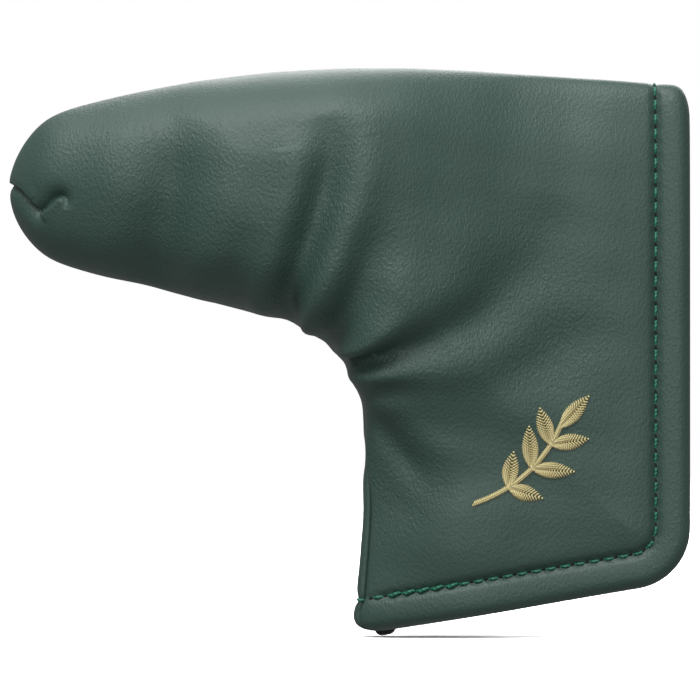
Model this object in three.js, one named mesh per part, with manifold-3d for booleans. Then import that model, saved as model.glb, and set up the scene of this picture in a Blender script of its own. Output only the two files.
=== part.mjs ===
// A blade putter's head cover: two padded leather panels sewn together round the toe, along the top
// and down the back of the neck. It is open along the heel and the bottom, where a front and a rear
// flap with magnets in their hems close it over the shaft.
//
// Frame, in millimetres: the origin is where the shaft's line meets the middle of the putter head.
// +X runs from the toe to the heel, +Y from the front panel to the rear one, and +Z up the cover as
// it stands on a club in a bag.

import * as THREE from "three";
import { mergeVertices } from "three/addons/utils/BufferGeometryUtils.js";
import Module from "manifold-3d";

const { lerp, smoothstep, degToRad } = THREE.MathUtils;
const wasm = await Module();
wasm.setup();

// Outline, seen from the front
const overallLength = 150;
const overallHeight = 124.6;
const heelReach = 41.7; // origin to the mouth's upright edge
const crestHeight = 26.7; // top edge at its highest, above the origin
const crestX = -31;
const mouthTopHeight = 22.5; // top edge at the mouth
const toeTipHalfHeight = 14.1;
const toeCapLength = 13.2; // the round end of the toe
const undersideTaper = 0.242; // fall of the toe's under edge for each millimetre towards the heel
const kneeRadius = 26; // inner corner between the toe and the neck
const neckWidth = 71.5; // sewn edge of the neck to the mouth's upright edge
const neckFlare = 2.6; // the neck widens by this much at the bottom
const mouthCornerRadius = 13.5;
const mouthSlope = degToRad(9.5); // the bottom edge falls towards the neck
const topCornerRadius = 4;
const neckCornerRadius = 5;

// Thickness, each side of the seam
const toeHalfThickness = 12.5;
const headHalfThickness = 20;
const restDepth = 16.5; // the rear panel is flattened where the cover lies on it
const restBlend = 2; // how softly the flattened part begins
const mouthGap = 3; // clear width between the closed flaps
const shaftBulge = 3.6; // extra room over the shaft
const shaftBulgeSpread = 0.19; // as a share of half the mouth's length
const shaftPlace = 0.75; // from -1 at the mouth's top end to 1 at its neck end

// Layers, from the outside in
const leatherThickness = 1.2;
const foamThickness = 1.8;
const liningThickness = 1.5;
const layerGap = 0.35; // also between any two pieces that touch
const seamGap = 0.4; // between the front and rear panels' edges
const hemAllowance = 9.5; // leather turned in at the mouth
const hemWidth = 7.7; // mouth's edge to its row of stitches

// Threads, magnets and the sewn motif
const threadRadius = 0.32;
const magnetRadius = 5;
const magnetThickness = 1;
const magnetDepth = 0.5; // leather's inner face to the magnet
const magnetPlaces = [-0.47, -0.06, 0.42]; // along the mouth, counted as shaftPlace is
const pouchMargin = 2; // fabric round a magnet
const pouchThickness = 0.3;
const motifThickness = 0.58;
const motifBase = new THREE.Vector2(-6, -69);
const motifTip = new THREE.Vector2(13, -52);
const motifLift = 0.65;
const leafLength = 9.5;
const leafWidth = 3.6;
const stemWidth = 1.3;
const backingThickness = 0.4;
const backingRadii = [17, 9.5];

// Flaps
const hingeSetback = 4; // mouth's edge to where each flap's fold meets the sewn edges
const flapGap = 0.8; // between a flap and the rest of its panel
const hingeClearance = 1.2;

const toeTipX = heelReach - overallLength;
const capEndX = toeTipX + toeCapLength;
const neckX = heelReach - neckWidth;
const legEndX = neckX - 1.2 * kneeRadius;
const mouthLowZ = crestHeight - overallHeight;
const bandWidth = hemAllowance + 2; // the strip along the mouth that keeps its distance to the edge
const foamDepth = leatherThickness + layerGap;
const liningDepth = foamDepth + foamThickness + layerGap;
const hemStack = liningDepth + liningThickness;
const flapHalfThickness = hemStack + mouthGap / 2;
const stitchLift = threadRadius + layerGap;
const seamAllowance = liningDepth - layerGap; // leather turned in along the joining seam
const seamStitchInset = leatherThickness + threadRadius + 3 * layerGap;
const magnetSetback = hemAllowance + magnetRadius + layerGap; // mouth's edge to a magnet's centre
const pouchRadius = magnetRadius + pouchMargin;

const FRONT = -1;
const REAR = 1;

// Outline curves ---------------------------------------------------------------------------------

function topEdgeZ(x) {
  if (x < crestX) {
    const share = (crestX - x) / (crestX - toeTipX);
    return crestHeight - (crestHeight - toeTipHalfHeight) * share ** 1.9;
  }
  const share = (x - crestX) / (heelReach - crestX);
  return crestHeight - (crestHeight - mouthTopHeight) * share ** 1.6;
}

function underEdgeZ(x) {
  return -(toeTipHalfHeight + undersideTaper * (x - toeTipX));
}

// The bottom edge, moved in from the mouth by inset.
function bottomEdgeZ(x, inset) {
  return mouthLowZ + (x - neckX) * Math.tan(mouthSlope) + inset / Math.cos(mouthSlope);
}

const kneeLean = Math.hypot(1, undersideTaper);
const kneeX = neckX - kneeRadius;
const kneeZ = underEdgeZ(kneeX) - kneeRadius * kneeLean;

function neckEdgeX(z) {
  const share = Math.max((kneeZ - z) / (kneeZ - mouthLowZ), 0);
  return neckX - neckFlare * share ** 2;
}

// How far a round corner's edge lies inside its sharp one, at inset from the other edge.
function cornerDrop(inset, radius) {
  const short = Math.max(radius - inset, 0);
  return radius - Math.sqrt(radius ** 2 - short ** 2);
}

// The mouth's length falls into its upright edge, its corner and its bottom edge. Each keeps its
// share of s, which runs from -1 at the top edge to 1 at the neck.
const uprightLength = mouthTopHeight - bottomEdgeZ(heelReach - mouthCornerRadius, mouthCornerRadius);
const cornerLength = mouthCornerRadius * (Math.PI / 2 - mouthSlope);
const bottomLength = neckWidth - mouthCornerRadius;
const mouthLength = uprightLength + cornerLength + bottomLength;
const cornerStart = (2 * uprightLength) / mouthLength - 1;
const cornerEnd = cornerStart + (2 * cornerLength) / mouthLength;

// A point at s along the mouth's edge, moved in by inset.
function mouthPoint(s, inset) {
  const radius = Math.max(mouthCornerRadius - inset, 0.5);
  const x = heelReach - inset;
  const centreX = x - radius;
  const centreZ = bottomEdgeZ(centreX, inset + radius);
  if (s < cornerStart) {
    const topZ = topEdgeZ(x) - cornerDrop(inset, topCornerRadius);
    return new THREE.Vector2(x, lerp(topZ, centreZ, (s + 1) / (cornerStart + 1)));
  }
  if (s < cornerEnd) {
    const share = (s - cornerStart) / (cornerEnd - cornerStart);
    const angle = share * (mouthSlope - Math.PI / 2);
    const arm = new THREE.Vector2(Math.cos(angle), Math.sin(angle)).multiplyScalar(radius);
    return arm.add(new THREE.Vector2(centreX, centreZ));
  }
  const startX = centreX + radius * Math.sin(mouthSlope);
  const sharpX = neckEdgeX(bottomEdgeZ(neckX - neckFlare, inset));
  const endX = sharpX + cornerDrop(inset, neckCornerRadius);
  const along = lerp(startX, endX, (s - cornerEnd) / (1 - cornerEnd));
  return new THREE.Vector2(along, bottomEdgeZ(along, inset));
}

const bandTop = mouthPoint(-1, bandWidth);
const bandLow = mouthPoint(1, bandWidth);

// Under edge, knee and neck as one path, from the toe to the mouth's strip.
const underPath = new THREE.Path();
underPath.moveTo(legEndX, underEdgeZ(legEndX));
underPath.lineTo(kneeX + (kneeRadius * undersideTaper) / kneeLean, kneeZ + kneeRadius / kneeLean);
underPath.absarc(kneeX, kneeZ, kneeRadius, Math.atan2(1, undersideTaper), 0, true);
underPath.quadraticCurveTo(neckX, (kneeZ + bandLow.y) / 2, bandLow.x, bandLow.y);

// Between the toe's straight part and the mouth's strip, lines across the panel fan out round the
// knee and bend little by little into the mouth's own outline.
function fanPoint(q, s) {
  const topX = lerp(legEndX, bandTop.x, q);
  const top = new THREE.Vector2(topX, topEdgeZ(topX));
  const straight = top.lerp(underPath.getPointAt(q), (s + 1) / 2);
  const bend = mouthPoint(s, bandWidth).sub(bandTop.clone().lerp(bandLow, (s + 1) / 2));
  return straight.addScaledVector(bend, q * q);
}

// Panel surface ----------------------------------------------------------------------------------
// u runs from the toe's tip to the mouth: 0 to 1 over the round toe, to 2 along the toe, to 3 over
// the fan, and to 4 over the strip along the mouth. s runs from -1 at the top edge to 1 at the
// under edge, and depth is measured inwards from the outer face.

function insetOf(u) {
  return bandWidth * (4 - u);
}

function uAtInset(inset) {
  return 4 - inset / bandWidth;
}

function toeX(u) {
  const capX = toeTipX + toeCapLength * (1 - Math.cos((u * Math.PI) / 2));
  return u < 1 ? capX : lerp(capEndX, legEndX, u - 1);
}

function capRise(u) {
  return Math.sin((Math.min(u, 1) * Math.PI) / 2);
}

// How fast a line across the panel leaves the panel's edge at end, square to that edge.
function edgeSpeed(u, across, end) {
  const step = 0.01;
  const inward = across(end * (1 - step)).sub(across(end)).divideScalar(step);
  if (u >= 3) return inward.length();
  const q = Math.min(u - 2 - step / 2, 1 - step);
  const edge = fanPoint(q + step, end).sub(fanPoint(q, end)).normalize();
  return Math.abs(inward.cross(edge));
}

// The point on the plan, the XZ plane, of a panel point.
function planPoint(u, s, depth) {
  if (u <= 2) {
    const x = toeX(u);
    const half = (topEdgeZ(x) - underEdgeZ(x)) / 2;
    const middle = (topEdgeZ(x) + underEdgeZ(x)) / 2;
    const turn = Math.cos((Math.min(u, 1) * Math.PI) / 2);
    return new THREE.Vector2(x + depth * turn, middle - s * (half - depth) * capRise(u));
  }
  const across = (t) => (u < 3 ? fanPoint(u - 2, t) : mouthPoint(t, insetOf(u)));
  const top = (depth * (1 - s)) / 2 / edgeSpeed(u, across, -1);
  const low = (depth * (1 + s)) / 2 / edgeSpeed(u, across, 1);
  return across(s + top - low);
}

function halfThickness(u, s) {
  if (u <= 2) {
    return lerp(toeHalfThickness, headHalfThickness, smoothstep(toeX(u), toeTipX, legEndX));
  }
  const thinning = smoothstep(u - 2, 0.25, 0.85);
  const bulge = shaftBulge * Math.exp(-(((s - shaftPlace) / shaftBulgeSpread) ** 2));
  return lerp(headHalfThickness, flapHalfThickness, thinning) + bulge * smoothstep(u - 2, 0.6, 1);
}

// The section is a superellipse: round over the toe, flat with round edges over the flaps.
function swell(u, s) {
  const power = lerp(2.2, 5, smoothstep(u, 2, 3));
  return (1 - Math.min(Math.abs(s), 1) ** power) ** (1 / power);
}

// The rear panel's depth from the seam levels off at the depth it lies on.
function levelled(y) {
  const over = THREE.MathUtils.clamp((y - restDepth + restBlend) / (2 * restBlend), 0, 1);
  return Math.min(y, restDepth - restBlend) + restBlend * (1 - (1 - over) ** 2);
}

function panelPoint(side, u, s, depth) {
  const plan = planPoint(u, s, depth);
  const full = seamGap / 2 + halfThickness(u, s) * capRise(u) * swell(u, s);
  const outer = side === REAR ? levelled(full) : full;
  return new THREE.Vector3(plan.x, side * (outer - depth * capRise(u) * swell(u, s)), plan.y);
}

// The u and s at which a layer of the fan or the strip has a point of the plan, by Newton's method.
function locate(x, z, depth) {
  const step = 1e-4;
  let u = 2.9;
  let s = 0.3;
  for (let i = 0; i < 40; i += 1) {
    const at = planPoint(u, s, depth);
    const alongU = planPoint(u + step, s, depth).sub(at).divideScalar(step);
    const alongS = planPoint(u, s + step, depth).sub(at).divideScalar(step);
    const miss = new THREE.Vector2(x, z).sub(at);
    const area = alongU.cross(alongS);
    const changeU = THREE.MathUtils.clamp(miss.cross(alongS) / area, -0.2, 0.2);
    const changeS = THREE.MathUtils.clamp(alongU.cross(miss) / area, -0.2, 0.2);
    u = THREE.MathUtils.clamp(u + changeU, 2.02, 3.98);
    s = THREE.MathUtils.clamp(s + changeS, -0.98, 0.98);
  }
  return { u, s };
}

// A point of a panel over or under a point of the plan.
function overPlan(side, x, z, depth) {
  const { u, s } = locate(x, z, depth);
  return panelPoint(side, u, s, depth);
}

// Solids -----------------------------------------------------------------------------------------

function solidOf(geometry) {
  const bare = geometry.index ? geometry.toNonIndexed() : geometry.clone();
  bare.deleteAttribute("normal");
  bare.deleteAttribute("uv");
  const merged = mergeVertices(bare);
  const faces = [];
  for (let i = 0; i < merged.index.count; i += 3) {
    const [a, b, c] = merged.index.array.subarray(i, i + 3);
    if (a !== b && b !== c && c !== a) faces.push(a, b, c);
  }
  const vertProperties = merged.attributes.position.array;
  const build = (triVerts) => new wasm.Manifold(new wasm.Mesh({ numProp: 3, vertProperties, triVerts }));
  const solid = build(new Uint32Array(faces));
  return solid.volume() > 0 ? solid : build(new Uint32Array(faces.reverse()));
}

function geometryOf(solid) {
  const mesh = solid.getMesh();
  const geometry = new THREE.BufferGeometry();
  geometry.setAttribute("position", new THREE.BufferAttribute(mesh.vertProperties, 3));
  geometry.setIndex(new THREE.BufferAttribute(mesh.triVerts, 1));
  geometry.computeVertexNormals();
  return geometry;
}

// Closes a row of rings of points into a body. startFlat and endFlat are the end rings' points laid
// out flat, for filling the two ends.
function skin(rings, startFlat, endFlat) {
  const count = rings[0].length;
  const index = [];
  for (let j = 0; j < rings.length - 1; j += 1) {
    for (let i = 0; i < count; i += 1) {
      const next = (i + 1) % count;
      const [a, b, c, d] = [j * count + i, j * count + next, (j + 1) * count + next, (j + 1) * count + i];
      index.push(a, b, c, a, c, d);
    }
  }
  const fill = (flat, first, reversed) => {
    for (const [a, b, c] of THREE.ShapeUtils.triangulateShape(flat, [])) {
      const turned = THREE.ShapeUtils.area(flat) > 0 === reversed;
      index.push(first + a, first + (turned ? c : b), first + (turned ? b : c));
    }
  };
  fill(startFlat, 0, true);
  fill(endFlat, (rings.length - 1) * count, false);
  const geometry = new THREE.BufferGeometry().setFromPoints(rings.flat());
  geometry.setIndex(index);
  return solidOf(geometry);
}

// Places across a panel: evenly spread angles over the upright edge, the corner and the bottom edge.
function placesAcross(divisions) {
  const bounds = [-1, cornerStart, cornerEnd, 1].map((s) => Math.acos(-s));
  const places = [];
  divisions.forEach((division, k) => {
    for (let i = 0; i < division; i += 1) {
      places.push(-Math.cos(lerp(bounds[k], bounds[k + 1], i / division)));
    }
  });
  return [...places, 1];
}

const panelPlaces = placesAcross([9, 4, 9]);

// Carries a closed profile of [u, depth] points across a panel, from its top edge to its under edge.
function layer(side, profile) {
  const rings = panelPlaces.map((s) => profile.map(([u, depth]) => panelPoint(side, u, s, depth)));
  const flat = (ring) => ring.map((p) => new THREE.Vector2(p.x, p.z));
  return skin(rings, flat(rings[0]), flat(rings.at(-1)));
}

const toeStations = [0, 0.25, 0.5, 0.75, 1, 1.33, 1.67];
const fanStations = Array.from({ length: 9 }, (_, i) => 2 + i / 8);
const panelStations = [...toeStations, ...fanStations];

function strip(stations, outer, inner) {
  const out = stations.map((u) => [u, outer]);
  const back = stations.map((u) => [u, inner]).reverse();
  return [...out, ...back];
}

// Leather runs over the outside, round the mouth's edge and back inside the hem.
function leatherProfile() {
  const hemStations = [hemWidth, hemWidth / 2].map(uAtInset);
  const wall = uAtInset(leatherThickness);
  const outer = [...panelStations, ...hemStations, wall, 4].map((u) => [u, 0]);
  const turn = [hemStack / 2, hemStack].map((depth) => [4, depth]);
  const inside = [hemWidth / 2, hemWidth, hemAllowance].map((inset) => [uAtInset(inset), hemStack]);
  const backDepth = hemStack - leatherThickness;
  const back = [hemAllowance, hemWidth, hemWidth / 2].map((inset) => [uAtInset(inset), backDepth]);
  const fold = [backDepth, leatherThickness].map((depth) => [wall, depth]);
  const inner = [...panelStations, ...hemStations].map((u) => [u, leatherThickness]).reverse();
  return [...outer, ...turn, ...inside, ...back, ...fold, ...inner];
}

// The leather's turned-in edge along the joining seam: from the mouth round the toe to the mouth.
function seamFlange(side) {
  const ends = [...panelStations, uAtInset(hemWidth), uAtInset(hemWidth / 2), uAtInset(leatherThickness / 2)];
  const top = ends.map((u) => [u, -1]).reverse();
  const low = ends.slice(1).map((u) => [u, 1]);
  const near = (side * seamGap) / 2;
  const far = side * (seamGap / 2 + leatherThickness);
  const start = leatherThickness / 2;
  const corners = [[start, near], [seamAllowance, near], [seamAllowance, far], [start, far]];
  const rings = [...top, ...low].map(([u, s]) =>
    corners.map(([depth, y]) => {
      const plan = planPoint(u, s, depth);
      return new THREE.Vector3(plan.x, y, plan.y);
    }),
  );
  const flat = corners.map(([depth, y]) => new THREE.Vector2(depth, y));
  return skin(rings, flat, flat);
}

function box(width, depth, height) {
  return new THREE.BoxGeometry(width, depth, height);
}

// A sheet cut to an outline on the plan and laid along a panel between two depths.
function patch(side, outline, outer, inner) {
  const centre = outline.reduce((sum, p) => sum.add(p), new THREE.Vector2()).divideScalar(outline.length);
  const rings = [0, 0.5, 1].map((share) => outline.map((p) => centre.clone().lerp(p, share)));
  const lay = (ring, depth) => ring.map((p) => overPlan(side, p.x, p.y, depth));
  const stack = [
    ...rings.map((ring) => lay(ring, outer)),
    ...rings.map((ring) => lay(ring, inner)).reverse(),
  ];
  return skin(stack, rings[2], rings[2]);
}

function ellipse(centre, radii, angle, count) {
  const curve = new THREE.EllipseCurve(centre.x, centre.y, radii[0], radii[1], 0, 2 * Math.PI, false, angle);
  return curve.getPoints(count).slice(0, count);
}

function tube(points, steps, radius) {
  const round = new THREE.Shape(ellipse(new THREE.Vector2(), [radius, radius], 0, 5));
  const path = new THREE.CatmullRomCurve3(points, false, "centripetal");
  return solidOf(new THREE.ExtrudeGeometry(round, { steps, extrudePath: path, bevelEnabled: false }));
}

// Each flap folds along the straight line between the two ends of the mouth ------------------------

const hingeTop = mouthPoint(-1, hingeSetback);
const hingeLow = mouthPoint(1, hingeSetback);
const hingeLine = hingeLow.clone().sub(hingeTop).normalize();
const hingeNormal = new THREE.Vector2(-hingeLine.y, hingeLine.x); // towards the mouth's corner

// How far a point of the plan lies beyond the fold line, on the flap's side.
function beyondFold(point) {
  return point.clone().sub(hingeTop).dot(hingeNormal);
}

// Everything on one side of the fold line: 1 for the flap's, -1 for the rest of the panel.
function foldSide(sign) {
  const size = 4 * overallLength;
  const centre = hingeTop.clone().addScaledVector(hingeNormal, (sign * (size + flapGap)) / 2);
  const block = box(size, size, size);
  block.rotateY(Math.atan2(-hingeNormal.y, hingeNormal.x));
  block.translate(centre.x, 0, centre.y);
  return solidOf(block);
}

const flapSpace = foldSide(1);
const bodySpace = foldSide(-1);

function largest(solid) {
  return solid.decompose().sort((a, b) => b.volume() - a.volume())[0];
}

// Depth of the hinge's axis in front of the panel, clear of its fullest point along the fold.
function hingeDepth(side) {
  const shares = Array.from({ length: 15 }, (_, i) => (i + 0.5) / 15);
  const depths = shares.map((share) => {
    const point = hingeTop.clone().lerp(hingeLow, share);
    return Math.abs(overPlan(side, point.x, point.y, 0).y);
  });
  return Math.max(...depths) + hingeClearance;
}

// Sub-parts --------------------------------------------------------------------------------------

const materials = {
  leather: new THREE.MeshStandardMaterial({ color: 0x425a54, roughness: 0.5 }),
  foam: new THREE.MeshStandardMaterial({ color: 0xd8d4c4, roughness: 0.95 }),
  lining: new THREE.MeshStandardMaterial({ color: 0x1b1d1c, roughness: 1 }),
  thread: new THREE.MeshStandardMaterial({ color: 0x1f6b4e, roughness: 0.6 }),
  embroidery: new THREE.MeshStandardMaterial({ color: 0xb9ab77, roughness: 0.55 }),
  backing: new THREE.MeshStandardMaterial({ color: 0xe9e8e2, roughness: 0.9 }),
  pouch: new THREE.MeshStandardMaterial({ color: 0x242726, roughness: 0.9 }),
  magnet: new THREE.MeshStandardMaterial({ color: 0xb9bcc0, roughness: 0.3, metalness: 1 }),
};

const bodyGroup = new THREE.Group();
const frontFlap = new THREE.Group();
const rearFlap = new THREE.Group();

function addPart(group, name, solid, material) {
  const mesh = new THREE.Mesh(geometryOf(solid), materials[material]);
  mesh.name = name;
  group.add(mesh);
  return mesh;
}

// Splits a whole panel layer into the flap and the rest.
function addSplit(flapGroup, name, solid, material) {
  addPart(bodyGroup, `${name}_body`, largest(solid.intersect(bodySpace)), material);
  addPart(flapGroup, `${name}_flap`, largest(solid.intersect(flapSpace)), material);
}

// A magnet lies flat under the leather, square to it.
function magnetSeat(side, place) {
  const depth = leatherThickness + magnetDepth + magnetThickness / 2;
  const plan = mouthPoint(place, magnetSetback);
  const centre = overPlan(side, plan.x, plan.y, depth);
  const reach = magnetRadius / 2;
  const alongX = overPlan(side, centre.x + reach, centre.z, depth).sub(centre);
  const alongZ = overPlan(side, centre.x, centre.z + reach, depth).sub(centre);
  const normal = alongZ.cross(alongX).normalize();
  const turn = new THREE.Quaternion().setFromUnitVectors(new THREE.Vector3(0, 1, 0), normal);
  return { centre, turn };
}

function addMagnets(group, side, prefix) {
  magnetPlaces.forEach((place, i) => {
    const { centre, turn } = magnetSeat(side, place);
    const disc = solidOf(new THREE.CylinderGeometry(magnetRadius, magnetRadius, magnetThickness, 16));
    const magnet = addPart(group, `${prefix}_magnet_${i + 1}`, disc, "magnet");
    magnet.position.copy(centre);
    magnet.quaternion.copy(turn);
    const depth = liningDepth - layerGap - pouchThickness - 0.05;
    const outline = ellipse(new THREE.Vector2(centre.x, centre.z), [pouchRadius, pouchRadius], 0, 12);
    const pouch = patch(side, outline, depth, depth + pouchThickness);
    addPart(group, `${prefix}_magnet_pouch_${i + 1}`, pouch, "pouch");
  });
}

function magnetHole(side, place) {
  const { centre } = magnetSeat(side, place);
  const radius = pouchRadius + layerGap;
  const hole = new THREE.CylinderGeometry(radius, radius, 4 * hemStack, 24);
  hole.translate(centre.x, centre.y, centre.z);
  return solidOf(hole);
}

// Foam stops short of the joining seam and of the hem's edge, and makes room for the magnets.
function foamLayer(side) {
  const stations = [...panelStations, ...[hemWidth, hemWidth / 2, foamDepth + 0.1].map(uAtInset)];
  const whole = layer(side, strip(stations, foamDepth, foamDepth + foamThickness));
  const seamRoom = seamGap / 2 + leatherThickness + 2 * threadRadius + 2 * layerGap;
  const block = solidOf(box(3 * overallLength, 2 * seamRoom, 3 * overallHeight));
  const holes = magnetPlaces.map((place) => magnetHole(side, place));
  return holes.reduce((foam, hole) => foam.subtract(hole), whole.subtract(block));
}

function liningLayer(side) {
  const stations = [...panelStations, uAtInset(hemAllowance + layerGap)];
  return layer(side, strip(stations, liningDepth, hemStack));
}

// Stitches ---------------------------------------------------------------------------------------

const fineSteps = Array.from({ length: 241 }, (_, i) => -Math.cos((i / 240) * Math.PI));
const stitchClearance = flapGap / 2 + threadRadius + layerGap;

function hemPoints(side, depth, keep) {
  const u = uAtInset(hemWidth);
  const points = fineSteps.filter((s) => keep(beyondFold(planPoint(u, s, 0)), s));
  return points.map((s) => panelPoint(side, u, s, depth));
}

function onFlap(beyond) {
  return beyond > stitchClearance;
}

function onBody(end) {
  return (beyond, s) => beyond < -stitchClearance && s * end > 0;
}

function addHemStitches(group, side, prefix) {
  const outside = hemPoints(side, -stitchLift, onFlap);
  addPart(group, `${prefix}_hem_stitch`, tube(outside, 36, threadRadius), "thread");
  const edge = 0.93;
  const inside = hemPoints(side, hemStack + stitchLift, (beyond, s) => onFlap(beyond) && Math.abs(s) < edge);
  addPart(group, `${prefix}_hem_bobbin_thread`, tube(inside, 36, threadRadius), "thread");
}

// Where the hem's row of stitches runs over a sewn edge, from the front panel to the rear one.
function hemWrap(end) {
  const front = hemPoints(FRONT, -stitchLift, onBody(end));
  const rear = hemPoints(REAR, -stitchLift, onBody(end));
  const points = end < 0 ? [...front.reverse(), ...rear] : [...front, ...rear.reverse()];
  return tube(points, 12, threadRadius);
}

// The joining seam's two threads, one each side of the turned-in edges.
function seamThread(side) {
  const y = side * (seamGap / 2 + leatherThickness + stitchLift);
  const rail = (s) => panelStations.map((u) => planPoint(u, s, seamStitchInset));
  const plan = [...rail(-1).reverse(), ...rail(1).slice(1)];
  return tube(plan.map((p) => new THREE.Vector3(p.x, y, p.y)), 52, threadRadius);
}

// Motif ------------------------------------------------------------------------------------------
// A plain leafy sprig in satin stitch: a bowed stem, a leaf at its tip and pairs of leaves along it.

const motifMiddle = motifBase.clone().lerp(motifTip, 0.5);
const motifAngle = motifTip.clone().sub(motifBase).angle();

function leafShape(at, angle, length) {
  const along = new THREE.Vector2(Math.cos(angle), Math.sin(angle));
  const across = new THREE.Vector2(-along.y, along.x).multiplyScalar(leafWidth / 2);
  const tip = at.clone().addScaledVector(along, length);
  const middle = at.clone().addScaledVector(along, 0.45 * length);
  const shape = new THREE.Shape();
  shape.moveTo(at.x, at.y);
  shape.quadraticCurveTo(middle.x + 2 * across.x, middle.y + 2 * across.y, tip.x, tip.y);
  shape.quadraticCurveTo(middle.x - 2 * across.x, middle.y - 2 * across.y, at.x, at.y);
  return shape;
}

function stemShape(curve) {
  const points = curve.getPoints(8);
  const side = (sign) =>
    points.map((p, i) => {
      const along = curve.getTangent(i / 8);
      const offset = new THREE.Vector2(-along.y, along.x).multiplyScalar((sign * stemWidth) / 2);
      return offset.add(p);
    });
  return new THREE.Shape([...side(1), ...side(-1).reverse()]);
}

function sprigSolid() {
  const bow = motifMiddle.clone().add(new THREE.Vector2(4, -4));
  const stem = new THREE.QuadraticBezierCurve(motifBase, bow, motifTip);
  const leaves = [leafShape(motifTip.clone().lerp(bow, 0.05), motifAngle + 0.1, leafLength)];
  for (const [share, size] of [[0.3, 0.85], [0.56, 1], [0.82, 0.9]]) {
    const angle = stem.getTangent(share).angle();
    for (const sign of [1, -1]) {
      leaves.push(leafShape(stem.getPoint(share), angle + sign * 0.85, size * leafLength));
    }
  }
  const settings = { depth: motifThickness, curveSegments: 5, bevelEnabled: false };
  const press = (shape) => solidOf(new THREE.ExtrudeGeometry(shape, settings));
  const flat = leaves.reduce((whole, leaf) => whole.add(press(leaf)), press(stemShape(stem)));
  return flat.warp((vertex) => {
    const point = overPlan(FRONT, vertex[0], vertex[1], -(motifLift + vertex[2]));
    [vertex[0], vertex[1], vertex[2]] = [point.x, point.y, point.z];
  });
}

function backingOutline(margin) {
  const radii = backingRadii.map((radius) => radius + margin);
  return ellipse(motifMiddle.clone().add(new THREE.Vector2(2.5, 2)), radii, motifAngle, 24);
}

// Assembly ---------------------------------------------------------------------------------------

const backingDepth = foamDepth + layerGap;
const backing = patch(FRONT, backingOutline(0), backingDepth, backingDepth + backingThickness);
const backingRoomDepth = backingDepth + backingThickness + layerGap;
const backingRoom = patch(FRONT, backingOutline(layerGap + 0.1), 0, backingRoomDepth);

for (const [side, prefix, flap] of [
  [FRONT, "front", frontFlap],
  [REAR, "rear", rearFlap],
]) {
  const leather = layer(side, leatherProfile()).add(seamFlange(side));
  addSplit(flap, `${prefix}_leather`, leather, "leather");
  const foam = foamLayer(side);
  addSplit(flap, `${prefix}_foam`, side === FRONT ? foam.subtract(backingRoom) : foam, "foam");
  addSplit(flap, `${prefix}_lining`, liningLayer(side), "lining");
  addHemStitches(flap, side, prefix);
  addMagnets(flap, side, prefix);
}
addPart(frontFlap, "embroidered_sprig", sprigSolid(), "embroidery");
addPart(frontFlap, "embroidery_backing", backing, "backing");
addPart(bodyGroup, "top_hem_stitch", hemWrap(-1), "thread");
addPart(bodyGroup, "neck_hem_stitch", hemWrap(1), "thread");
addPart(bodyGroup, "joining_seam_thread", seamThread(FRONT), "thread");
addPart(bodyGroup, "joining_seam_bobbin_thread", seamThread(REAR), "thread");

const headCover = new THREE.Group();
headCover.add(bodyGroup, frontFlap, rearFlap);
headCover.userData.hinges = [FRONT, REAR].map((side) => ({
  point: [hingeTop.x, side * hingeDepth(side), hingeTop.y],
  axis: [-side * hingeLine.x, 0, -side * hingeLine.y],
}));

export default headCover;
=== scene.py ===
"""A putter head cover in padded leather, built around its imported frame.

Two leather panels are sewn together round the toe, along the top and down the back of the neck. A
front and a rear flap close the mouth, which runs down the heel and along the bottom. Everything is
worked out in millimetres in the frame's own axes: +X from toe to heel, +Y from the front panel to
the rear one and +Z up, and is put into its mesh in metres.
"""

import math

import bmesh
import bpy
import numpy as np
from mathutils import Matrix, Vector


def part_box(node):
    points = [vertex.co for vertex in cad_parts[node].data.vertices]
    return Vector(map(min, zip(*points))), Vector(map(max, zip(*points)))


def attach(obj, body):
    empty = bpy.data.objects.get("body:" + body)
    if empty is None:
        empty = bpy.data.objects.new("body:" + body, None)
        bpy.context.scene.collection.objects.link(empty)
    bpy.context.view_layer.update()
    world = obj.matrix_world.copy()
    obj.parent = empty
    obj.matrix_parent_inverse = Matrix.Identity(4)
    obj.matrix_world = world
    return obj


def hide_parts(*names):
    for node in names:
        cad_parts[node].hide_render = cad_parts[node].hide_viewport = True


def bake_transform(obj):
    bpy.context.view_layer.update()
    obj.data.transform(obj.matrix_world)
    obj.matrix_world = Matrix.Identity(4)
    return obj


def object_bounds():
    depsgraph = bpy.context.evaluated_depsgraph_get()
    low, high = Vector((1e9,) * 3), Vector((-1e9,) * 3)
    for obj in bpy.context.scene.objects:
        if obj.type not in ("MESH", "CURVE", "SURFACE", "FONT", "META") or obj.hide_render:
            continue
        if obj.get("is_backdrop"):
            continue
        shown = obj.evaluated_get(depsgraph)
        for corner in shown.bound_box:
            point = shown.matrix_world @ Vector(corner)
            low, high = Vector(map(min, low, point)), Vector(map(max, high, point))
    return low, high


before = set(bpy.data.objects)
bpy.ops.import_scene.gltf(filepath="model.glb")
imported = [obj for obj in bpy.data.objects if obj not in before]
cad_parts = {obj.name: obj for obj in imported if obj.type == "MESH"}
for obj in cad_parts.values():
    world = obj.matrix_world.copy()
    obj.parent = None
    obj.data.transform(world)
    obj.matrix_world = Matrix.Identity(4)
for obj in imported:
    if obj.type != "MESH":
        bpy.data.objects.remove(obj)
cad_low, cad_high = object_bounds()

bl_info = {
    "name": "Putter head cover",
    "version": (1, 0, 0),
    "blender": (4, 5, 0),
    "location": "View3D > Sidebar > Head cover",
    "description": "Builds a padded leather putter head cover, piece by piece, round its frame",
    "category": "Add Mesh",
}

FRONT = -1
REAR = 1

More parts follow.
